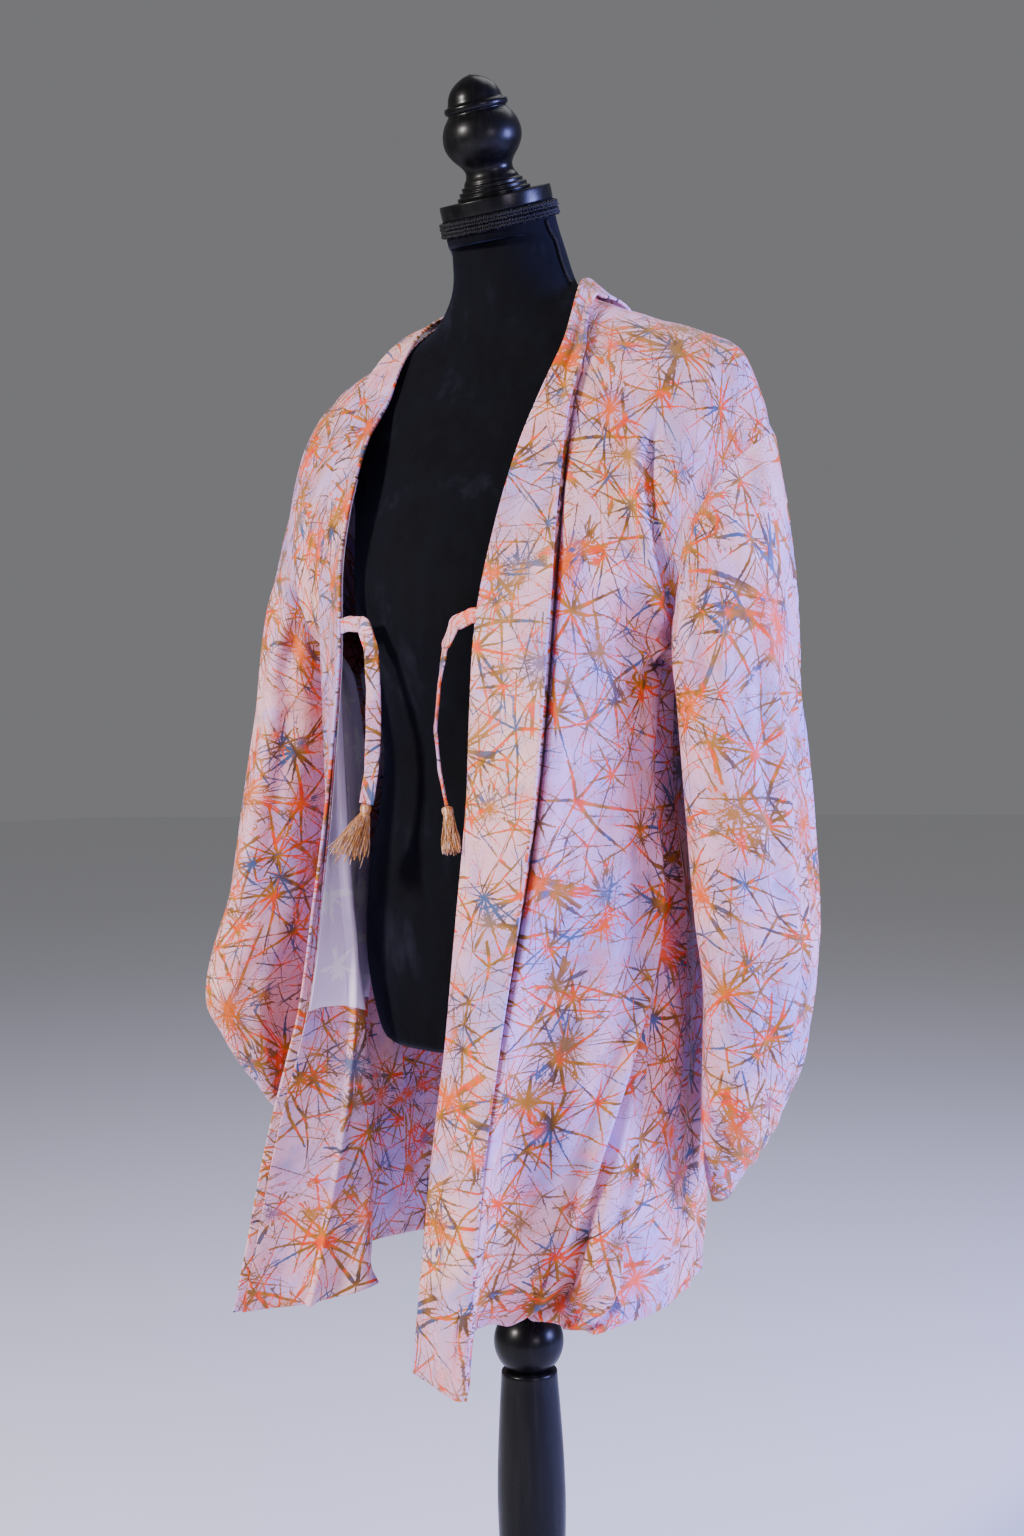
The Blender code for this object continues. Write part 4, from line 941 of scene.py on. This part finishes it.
# ---- sleeves
def sleeve_rows(seam, table, side):
    """The seam loop, a blend below it, then the rings of the table."""
    sign = LEFT_RIGHT[side]
    half = (len(seam) - 1) // 2
    ang = np.arange(2 * half + 1) * pi / half
    rings = []
    for z, cx, cy, a, b, turned in spline(table, knots((2, 2, 2, 2, 2, 2, 1))):
        r = radians(turned) * sign
        x = -a * np.cos(ang) * sign
        y = -b * np.sign(np.sin(ang)) * abs(np.sin(ang)) ** 0.9
        rings.append(np.column_stack([cx + x * cos(r) - y * sin(r),
                                      cy + x * sin(r) + y * cos(r), np.full(len(ang), z)]))
    rows = [np.asarray(seam)]
    for f in (0.25, 0.5, 0.75):
        mid = rows[0] * (1 - f) + rings[0] * f
        out = mid - mid.mean(axis=0)
        out[:, 2] = 0
        full = np.sin(ang / 2) * SLEEVE_SWELL * sin(pi * f)
        rows.append(mid + unit(out) * full[:, None])
    return denser(rows + rings, FINE_ROW)


def sleeve(side, seam, table, start):
    """One bag sleeve: its rings, rippled and creased, with the wrist and the underarm left open."""
    rows = sleeve_rows(seam, table, side)
    m, w = rows.shape[:2]
    half = (w - 1) // 2
    low_z, top_z = WRIST[side]
    cut_at = cut_lengths(rows, start)
    n0 = grid_normals(rows, side == "left")
    i = np.arange(m)[:, None]
    edge = np.minimum(from_ends(w), abs(np.arange(w) - half))[None] / 5
    keep = clip01(edge) * clip01(i / 8) * clip01((m - 1 - i) / 10)
    rows = rows + n0 * (ripple(cut_at, 5 if side == "left" else 11, 0.7, 0.06, 0.0022) * keep)[..., None]
    rows = rows + (crease(rows, cut_at, n0, SLEEVE_CREASES[side]) - rows) * clip01(i / 7)[..., None]
    parted = rows[:, half, 2] < top_z
    verts, uvs, index, faces = [], [], {}, []

    def put(r, k, beyond):
        """Number of the point in row r, place k; beyond is the back edge of the wrist opening."""
        edge = (1 if beyond else -1) if k == half and parted[r] else 0
        name = (r, k, edge)
        if name not in index:
            index[name] = len(verts)
            p = rows[r, k].copy()
            lip = SLEEVE_LIP * clip01(min(p[2] - low_z, top_z - p[2]) / LIP_RUN) * abs(edge)
            if k in (0, w - 1):
                lip = SLEEVE_LIP * clip01((p[2] - UNDER_ARM_LOW_Z) / LIP_RUN) * min(r / 5, 1)
                edge = -1 if k == 0 else 1
            p[1] += lip * edge
            if k == half and edge:
                over, along = WRIST_SHUT[edge]
                p[0] += lip / SLEEVE_LIP * over * LEFT_RIGHT[side]
                p[1] += lip / SLEEVE_LIP * along
            verts.append(p)
            uvs.append(cut_at[r, k])
        return index[name]

    for r in range(m - 1):
        for k in range(w - 1):
            back = k >= half
            q = (put(r, k, back), put(r, k + 1, back), put(r + 1, k + 1, back), put(r + 1, k, back))
            faces.append(q[::-1] if side == "left" else q)
    tip = len(verts)
    verts.append(rows[-1].mean(axis=0) - (0, 0, 0.003))
    uvs.append(cut_at[-1, half])
    for k in range(w - 1):
        q = (put(m - 1, k, k >= half), put(m - 1, k + 1, k >= half), tip)
        faces.append(q[::-1] if side == "left" else q)
    cloth.add("sleeve_" + side, verts, faces, uvs)


SLEEVE_CREASES = {
    "left": [
        (8, 12, (2340, 60, 2356, 150, 2366, 235, 2364, 300, 2374, 370, 2376, 450, 2370, 540,
                   2350, 640, 2326, 720)),
        (-3.5, 12, (2296, 190, 2308, 300, 2318, 420, 2312, 540, 2296, 650)),
        (3, 10, (2262, 230, 2272, 360, 2270, 480, 2262, 600)),
        (-3, 12, (2412, 160, 2420, 300, 2426, 440, 2416, 560)),
        (-4, 9, (2256, 120, 2276, 150, 2300, 196, 2318, 260)),
        (3.5, 14, (2600, 120, 2590, 260, 2586, 400, 2560, 560)),
        (-3.5, 12, (2640, 160, 2632, 300, 2622, 460, 2590, 600)),
        (-4, 9, (2690, 110, 2672, 160, 2652, 220, 2640, 300)),
    ],
    "right": [
        (3.5, 16, (3230, 420, 3238, 560, 3236, 700, 3226, 820, 3204, 940)),
        (-3.5, 11, (3176, 480, 3184, 620, 3178, 760, 3166, 880)),
        (-4, 9, (3150, 430, 3170, 470, 3196, 520, 3216, 590)),
        (3, 10, (3280, 440, 3290, 580, 3292, 720, 3276, 840)),
        (3.5, 14, (3490, 430, 3480, 560, 3476, 700, 3450, 860)),
        (-3.5, 12, (3540, 460, 3530, 600, 3520, 760, 3490, 900)),
        (-4, 9, (3586, 410, 3570, 460, 3550, 520, 3540, 600)),
    ],
}
for side, table, start in (("left", SLEEVE_LEFT, (2.2, 0.2)), ("right", SLEEVE_RIGHT, (3.1, 0.5))):
    sleeve(side, length[side][top:m - top, -1], table, start)

# ---- collar band: worn folded outward, so it lies on the body lengths
BAND_CREASES = [
    (2.6, 8, (4222, 1270, 4228, 1360, 4232, 1460, 4236, 1580)),
    (-3.4, 6, (4238, 1270, 4246, 1370, 4250, 1470, 4252, 1600)),
    (1.8, 10, (4226, 700, 4230, 800, 4234, 900)), (-2.4, 7, (4244, 680, 4248, 800, 4250, 930)),
    (-3.0, 6, (4218, 1004, 4240, 1030, 4266, 1042)), (2.6, 6, (4218, 986, 4240, 1008, 4266, 1022)),
    (2.0, 9, (4224, 100, 4230, 240, 4234, 400, 4232, 560)),
    (-2.2, 8, (4240, 1700, 4246, 1850, 4244, 2000, 4238, 2160)),
]
fronts = []
for side in ("left", "right"):
    g, out = coarse[side], grid_normals(coarse[side], side == "right")
    lie = np.array([spline(g[r] + out[r] * SEAM * 2, np.arange(BAND_COLS) * narrowed(r, side))
                    for r in range(c_row + 1)])
    roll = lie[:, 0] + unit(lie[:, 0] - lie[:, 1]) * COLLAR_ROLL
    fronts.append(np.concatenate([roll[:, None], lie], axis=1))
neck = [np.linspace(row[:3], row[3:], BAND_COLS + 1) / 1000 for row in np.array(COLLAR_NECK, float)]
stations = np.array([fronts[0][-2], fronts[0][-1]] + neck + [fronts[1][-1], fronts[1][-2]])
body_tree = BVHTree.FromPolygons(
    [Vector(p) for s in length for p in length[s].reshape(-1, 3)],
    [tuple(int(k) for k in f) for f in np.concatenate([grid_faces(m, n), grid_faces(m, n, True) + m * n])])
round_neck = push_out(spline(stations, knots([3] * 6)[1:-1] + 1), body_tree, NECK_GAP)
band = finer(np.concatenate([fronts[0], round_neck, fronts[1][::-1]]), 4, 5)
band_cut, bn, wide = cut_lengths(band, (4.2, 0.0)), grid_normals(band), band.shape[1]
# fuller along its middle, and its free edge stands up
puff = np.sin(pi * np.linspace(0, 1, wide))[None] * (0.0006 + ripple(band_cut, 21, 0.35, 0.2, 0.0007))
rise = clip01(np.linspace(-1.6, 1, wide))[None] ** 1.5 * 0.0042
band = crease(band + bn * (puff + rise)[..., None], band_cut, bn, BAND_CREASES)
band = push_out(band, body_tree, 0.0004, 3)
cloth.add_grid("collar", band, band_cut)

# ---- shells
row_of = np.repeat(np.arange(m - 1), n - 1)
faced = sum(ROWS_LOW[:3]) * FINE_ROW
lined = ((row_of >= faced) & (row_of < m - 1 - faced)).astype(int)
# material numbers of the outer faces: painted shade, darker silk in a strip just past the band's free edge
# where the band's shadow falls
band_shadow_faces = {}
for side in length:
    col_of = np.tile(np.arange(n - 1), m - 1) - np.floor(
        FINE_COL * (BAND_COLS - 1) * narrowed(row_of / FINE_ROW, side))
    by_band = row_of < c_row * FINE_ROW - 2
    # painted shade: the two columns nearest the band's edge darkest, the third less dark
    band_shadow_faces[side] = np.where(by_band & (abs(col_of - 0.5) < 1), 2, np.where(by_band & (col_of == 2), 3, 0))
made = {}
for side in ("left", "right"):
    made["body_" + side] = cloth.shell("body_length_" + side, "body_" + side,
                                       [SILK, SATIN, BAND_SHADOW_SILK, BAND_SHADOW_FADE], lined, band_shadow_faces[side])
    made["gusset_" + side] = cloth.shell("side_gusset_" + side, "gusset_" + side, [SILK, SATIN])
    made["sleeve_" + side] = cloth.shell("bag_sleeve_" + side, "sleeve_" + side, [SILK, SATIN])
made["collar"] = cloth.shell("folded_collar_band", "collar", [SILK], wall=COLLAR_T, lift=COLLAR_T, trim=0.0)

# ---- lining of the open right front
shown = slice(faced, (low + 4) * FINE_ROW + 1)
g, nrm = length["right"][shown], grid_normals(length["right"], True)[shown]
at = np.linspace(0.12 * FINE_COL, n - 1 - 0.12 * FINE_COL, n)
g = spline((g - nrm * (WALL + LINING_GAP)).swapaxes(0, 1), at).swapaxes(0, 1)
lining_cut = cut_lengths(g, (5.5, 0.2))
nrm = spline(nrm.swapaxes(0, 1), at).swapaxes(0, 1)
sag = np.clip(ripple(lining_cut, 31, 0.6, 0.09, 0.0012) + 0.0006, 0, 0.003)
sag *= clip01(from_ends(n) / 8)[None]
sag *= clip01(from_ends(len(g)) / 8)[:, None]
g = push_out(g - nrm * sag[..., None], form_tree, 0.0012)
cloth.add_grid("lining", g, lining_cut, True)
made["lining"] = cloth.shell("satin_lining", "lining", [SATIN], wall=LINING_T, trim=0.0)


# ======== what repeats along a path ========
def thread_tree():
    """Thread of round section along every edge chain of a mesh."""
    tree = bpy.data.node_groups.new("thread", "GeometryNodeTree")
    for name, kind, way in (("Lines", "Geometry", "INPUT"), ("Radius", "Float", "INPUT"),
                            ("Sides", "Int", "INPUT"), ("Finish", "Material", "INPUT"),
                            ("Thread", "Geometry", "OUTPUT")):
        tree.interface.new_socket(name, in_out=way, socket_type="NodeSocket" + kind)
    start, end, curve, ring, tube, real, mat = (tree.nodes.new(k) for k in (
        "NodeGroupInput", "NodeGroupOutput", "GeometryNodeMeshToCurve", "GeometryNodeCurvePrimitiveCircle",
        "GeometryNodeCurveToMesh", "GeometryNodeRealizeInstances", "GeometryNodeSetMaterial"))
    tube.inputs["Fill Caps"].default_value = True
    for a, leaves, b, enters in (
            (start, "Lines", curve, "Mesh"), (start, "Radius", ring, "Radius"),
            (start, "Sides", ring, "Resolution"), (curve, "Curve", tube, "Curve"),
            (ring, "Curve", tube, "Profile Curve"), (tube, "Mesh", real, "Geometry"),
            (real, "Geometry", mat, "Geometry"), (start, "Finish", mat, "Material"),
            (mat, "Geometry", end, "Thread")):
        tree.links.new(a.outputs[leaves], b.inputs[enters])
    return tree


THREAD_TREE = thread_tree()


def threads(name, lines, radius, sides, finish, closed=False):
    """Threads along lines of points, as one plain mesh."""
    verts, edges = [], []
    for line in lines:
        k = len(verts)
        verts += list(line)
        edges += [(k + i, k + i + 1) for i in range(len(line) - 1)]
        if closed:
            edges.append((k + len(line) - 1, k))
    obj = mesh_object(name, verts, [], edges=edges)
    mod = obj.modifiers.new("thread", "NODES")
    mod.node_group = THREAD_TREE
    ids = {s.name: s.identifier for s in THREAD_TREE.interface.items_tree if s.in_out == "INPUT"}
    mod[ids["Radius"]] = float(radius)
    mod[ids["Sides"]] = int(sides)
    mod[ids["Finish"]] = finish
    bpy.context.view_layer.update()
    done = bpy.data.meshes.new_from_object(obj.evaluated_get(bpy.context.evaluated_depsgraph_get()))
    obj.modifiers.clear()
    obj.data = done
    done.materials.clear()
    done.materials.append(finish)
    done.polygons.foreach_set("use_smooth", np.ones(len(done.polygons), bool))
    return obj


# ======== ties and tassels ========
def tie(side):
    """Flat sewn tie: soft ribbon with a crease down each face; gives its line for the cord."""
    steps, wide, off = TIES[side]
    g = coarse[side]
    edge = g[:len(g) // 2, 0, 2]
    row = int(np.argmax((edge[1:] > TIE_Z) & (edge[:-1] <= TIE_Z)))
    f = (TIE_Z - edge[row]) / (edge[row + 1] - edge[row])
    fold = g[row, 0] * (1 - f) + g[row + 1, 0] * f
    along = g[row + 1, 0] - g[row, 0]
    out = unit(np.cross(g[row, 1] - g[row, 0], along))
    out = out * np.sign(-out[1])
    root = fold + out * COLLAR_T / 2
    way = unit(g[row, 0] - g[row, 1])
    begin = root + way * off
    bends = root + np.array(steps, float) / 1000
    near = np.stack([bends[:-1] * 0.72 + bends[1:] * 0.28, bends[:-1] * 0.28 + bends[1:] * 0.72,
                     bends[1:]], axis=1)
    line = even(np.vstack([begin, begin + way * 0.003, bends[:1], near.reshape(-1, 3)]), 90)
    ahead = unit(np.gradient(line, axis=0))
    t = np.linspace(0, 1, len(line))[:, None]
    w = unit(along) * (1 - t) + np.array(wide) * t
    w = unit(w - ahead * (w * ahead).sum(axis=1)[:, None])
    up = np.cross(ahead, w)
    a = np.linspace(0, 2 * pi, 25)[:-1]
    x = 0.5 * TIE_W * np.sign(np.cos(a)) * abs(np.cos(a)) ** 0.75
    y = 0.5 * TIE_T * np.sign(np.sin(a)) * abs(np.sin(a)) ** 0.6
    y = y * (1 - 0.5 * np.exp(-((x - 0.0012) / 0.0009) ** 2) - 0.35 * np.exp(-((x + 0.003) / 0.0008) ** 2))
    run = run_along(line)
    curl = 0.0004 * np.sin(run * 190 + (0 if side == "left" else 2)) + 0.0003 * np.sin(run * 83)
    rings = (line[:, None] + w[:, None] * (x[None, :, None] * (1 + 0.03 * np.sin(run * 61))[:, None, None])
             + up[:, None] * (y[None, :, None] + (curl[:, None] * (x / 0.006)[None])[..., None]))
    lay = run_along(rings[10])
    verts, faces = ring_mesh(rings)
    uv = np.stack(np.meshgrid(run, lay, indexing="ij"), axis=2)[..., ::-1] + (6.0 if side == "left" else 6.4)
    obj = mesh_object("front_tie_" + side, verts, faces, [SILK], uv.reshape(-1, 2))
    return obj, line, run[-1]


def tassel(side, end, way):
    """Bound head and loose silk threads."""
    foot, spread = TASSELS[side]
    top = end + way * SEAM
    drop = end + np.array(foot) / 1000 - top
    u = unit(np.cross(way, (0.3, 1.0, 0.1)))
    w = np.cross(way, u)
    ring = around(circle(20), u, w)
    rings = [top + way * (h * HEAD_LONG) + ring * (r * HEAD_R) for h, r in HEAD]
    head = mesh_object("tassel_head_" + side, *ring_mesh(np.array(rings)), [THREAD])
    rng = np.random.default_rng(5 if side == "left" else 6)
    lines = []
    for k in range(STRANDS):
        r, ang = sqrt((k + 0.5) / STRANDS), k * 2.39996
        d = u * cos(ang) + w * sin(ang)
        reach = rng.uniform(0.9, 1.03) * (1.22 if spread > 0.01 and k % 9 == 0 else 1.0)
        wav = rng.normal(0, 1, (3, 3)) * 0.0007
        lines.append([])
        for f in np.arange(9) / 8:
            p = top + way * 0.0085 + d * (r * 0.0042) + (drop - way * 0.0085) * (f * reach)
            sway = sum(wav[q] * sin((q + 1) * 2.2 * f) for q in range(3))
            lines[-1].append(p + d * (r * spread * f ** 0.8) + sway * f)
    skirt = threads("tassel_threads_" + side, lines, STRAND_R, 5, THREAD)
    wind = [top + way * (0.0069 + 0.0011 * t) + (np.cos(t * 31.4) * u + np.sin(t * 31.4) * w) * 0.0041
            for t in np.linspace(0, 1, 100)]
    bind = threads("tassel_binding_" + side, [wind], BINDING_R, 6, THREAD)
    return [head, skirt, bind]


ties = {}
for side in ("left", "right"):
    obj, line, long = tie(side)
    ties[side] = (obj, line, long, tassel(side, line[-1], unit(line[-1] - line[-2])))

# ======== the form and its stand ========
made["form"] = mesh_object("velvet_form", fv, ff, [VELVET])
made["form"].data.set_sharp_from_angle(angle=EDGE_ANGLE)


def wood(name, rows, sides=WOOD_SIDES, origin=(0, 0, 0), tilt=0.0):
    """Turned wood from a profile; its corners stay, its curves are smoothed."""
    up, fore = leaning(tilt)
    ring = around(circle(sides), (1, 0, 0), fore)
    rings = np.array([np.array(origin) + up * h + ring * r for h, r in denser(rows, WOOD_STEPS)])
    obj = mesh_object(name, *ring_mesh(rings), [WOOD])
    obj.data.set_sharp_from_angle(angle=EDGE_ANGLE)
    return obj


made["cap"] = wood("neck_cap_disc", CAP, origin=NECK_TOP, tilt=NECK_TILT)
made["finial"] = wood("turned_finial", [(0.0133 + h / 1000, r / 1000) for h, r in FINIAL + [(105.5, 0.4)]],
                      origin=NECK_TOP, tilt=NECK_TILT)
made["rod"] = wood("pole", [(0.5463, 0.014), (0.7672, 0.014)], 48)
made["ball"] = wood("turned_ball", BALL)
made["column"] = wood("turned_column", COLUMN)
made["base"] = wood("turned_foot", BASE, 128)


def plait(along, up, out, pitch, wide, deep, seed):
    """Three looped strands plaited along a line of points, a little unevenly."""
    run = run_along(along)
    rng = np.random.default_rng(seed)
    lines = []
    for k in range(3):
        t = run / pitch * 2 * pi + k * 2 * pi / 3
        slack = sum(rng.uniform(0.05, 0.12) * np.sin(j * t / 7 + rng.uniform(0, 6.3)) for j in (2, 3, 5))
        side = wide * (1 + slack) * (np.sin(t) + 0.25 * np.sin(3 * t + k))
        depth = deep * (np.sin(2 * t) + 0.3 * np.cos(3 * t))
        lines.append(along + up * side[:, None] + out * depth[:, None])
    return lines


ang = np.linspace(0, 2 * pi, 1100)[:-1]
lean, fore = leaning(NECK_TILT)
out = around(ang, (1, 0, 0), fore)
rows = []
for h, seed in ((-0.0046, 41), (-0.0112, 42)):
    rows += plait(np.array(NECK_TOP) + lean * h + out * GIMP_R, np.tile(lean, (len(ang), 1)), out,
                  2 * pi * GIMP_R / GIMP_LOOPS * (len(ang) - 1) / len(ang), 0.0024, 0.0013, seed)
made["braid"] = threads("neck_gimp_braid", rows, 0.00095, 6, BRAID, closed=True)

# the narrow gimp that covers each side seam of the neck, down to the collar
trims = []
for sign in (1, -1):
    line = []
    for ring in form_rings(360):
        q = ring[352 if sign > 0 else 188]
        if 1.462 < q[2] and (q - np.array(NECK_TOP)) @ lean < -0.0155:
            line.append(q)
    line = even(np.array(line), 90)
    up = unit(np.gradient(line, axis=0))
    face = unit(np.cross(up, (0.0, sign, 0.0)))
    face = face * np.sign(face[:, 0] * sign)[:, None]
    trims += plait(line + face * 0.0014, np.cross(up, face), face, 0.0052, 0.0017, 0.0007, 50 + sign)
made["trim"] = threads("neck_side_gimp", trims, 0.0006, 6, BRAID)

# ======== stage, light, camera ========
STUDIO = Finish("studio_floor", 0.9, (0.92, 0.92, 0.93)).mat
floor = mesh_object("floor", [(-30, -30, -0.0002), (30, -30, -0.0002), (30, 30, -0.0002), (-30, 30, -0.0002)],
                    [(0, 1, 2, 3)], [STUDIO], soft=False)
world = bpy.data.worlds.new("studio")
world.use_nodes = True
world.node_tree.nodes["Background"].inputs[0].default_value = (0.92, 0.92, 0.96, 1)
world.node_tree.nodes["Background"].inputs[1].default_value = 0.2
bpy.context.scene.world = world

for name, at, aim, size, power, tint in (
        ("key", (-1.3, -2.7, 2.3), (0, 0, 1.05), 0.4, 160, (1.0, 0.94, 0.9)),
        ("front", (2.4, -1.6, 1.3), (0, 0, 1.0), 0.8, 25, (0.95, 0.8, 0.97)),
        ("fill", (2.75, 0.95, 1.5), (0, 0, 1.0), 1.0, 300, (0.33, 0.36, 1.0)),
        ("top", (0.3, 0.9, 3.4), (0, 0, 1.2), 1.4, 18, (0.96, 0.96, 1.0))):
    data = bpy.data.lights.new(name, "AREA")
    data.shape = "SQUARE"
    data.size = size
    data.energy = power
    data.color = tint
    lamp = placed(name, data)
    lamp.location = at
    lamp.rotation_euler = (Vector(aim) - Vector(at)).to_track_quat("-Z", "Y").to_euler()

# the eye stands EYE_R from the stand's axis, turned to the wearer's left and looking at the axis
EYE_R, EYE_Z, EYE_TURN, EYE_ROLL = 1.6, 1.02, radians(31.0), radians(1.1)
FOCAL, PICTURE_H, OFF_AXIS = 1720, 1536, 5.8      # pixels of the full frame
yaw = atan(OFF_AXIS / FOCAL)
right = Vector((cos(EYE_TURN), sin(EYE_TURN), 0))
ahead = Vector((-sin(EYE_TURN), cos(EYE_TURN), 0))
right, ahead = right * cos(yaw) + ahead * sin(yaw), ahead * cos(yaw) - right * sin(yaw)
over = right * cos(EYE_ROLL) - Vector((0, 0, sin(EYE_ROLL)))
up = Vector((0, 0, cos(EYE_ROLL))) + right * sin(EYE_ROLL)
eye = Matrix((over, up, -ahead)).transposed().to_4x4()
eye.translation = (EYE_R * sin(EYE_TURN), -EYE_R * cos(EYE_TURN), EYE_Z)
lens = bpy.data.cameras.new("camera")
lens.sensor_fit = "VERTICAL"
lens.sensor_height = 36
lens.lens = 36 * FOCAL / PICTURE_H
lens.clip_start = 0.05
camera = placed("camera", lens)
camera.matrix_world = eye
bpy.context.scene.camera = camera

# ======== what each piece is ========
STANDS_FOR = {
    "body_left": "body_panel_left", "body_right": "body_panel_right", "gusset_left": "gusset_left",
    "gusset_right": "gusset_right", "sleeve_left": "sleeve_left", "sleeve_right": "sleeve_right",
    "collar": "collar_band", "lining": "lining_right", "form": "form_torso", "braid": "neck_braid",
    "trim": "form_torso", "cap": "neck_cap", "finial": "finial", "rod": "stand_rod", "ball": "stand_ball",
    "column": "stand_column", "base": "stand_base",
}
SLOTS = {"lining": "lilac_satin", "form": "black_velvet", "braid": "black_braid", "trim": "black_braid"}
SLOTS |= {key: "black_wood" for key in ("cap", "finial", "rod", "ball", "column", "base")}
for key, piece in made.items():
    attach(piece, "root")
    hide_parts(STANDS_FOR[key])
for side, (piece, line, long, parts) in ties.items():
    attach(piece, "root")
    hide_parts("tie_" + side)
    for p in parts:
        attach(p, "root")
        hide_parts("tassel_" + side)
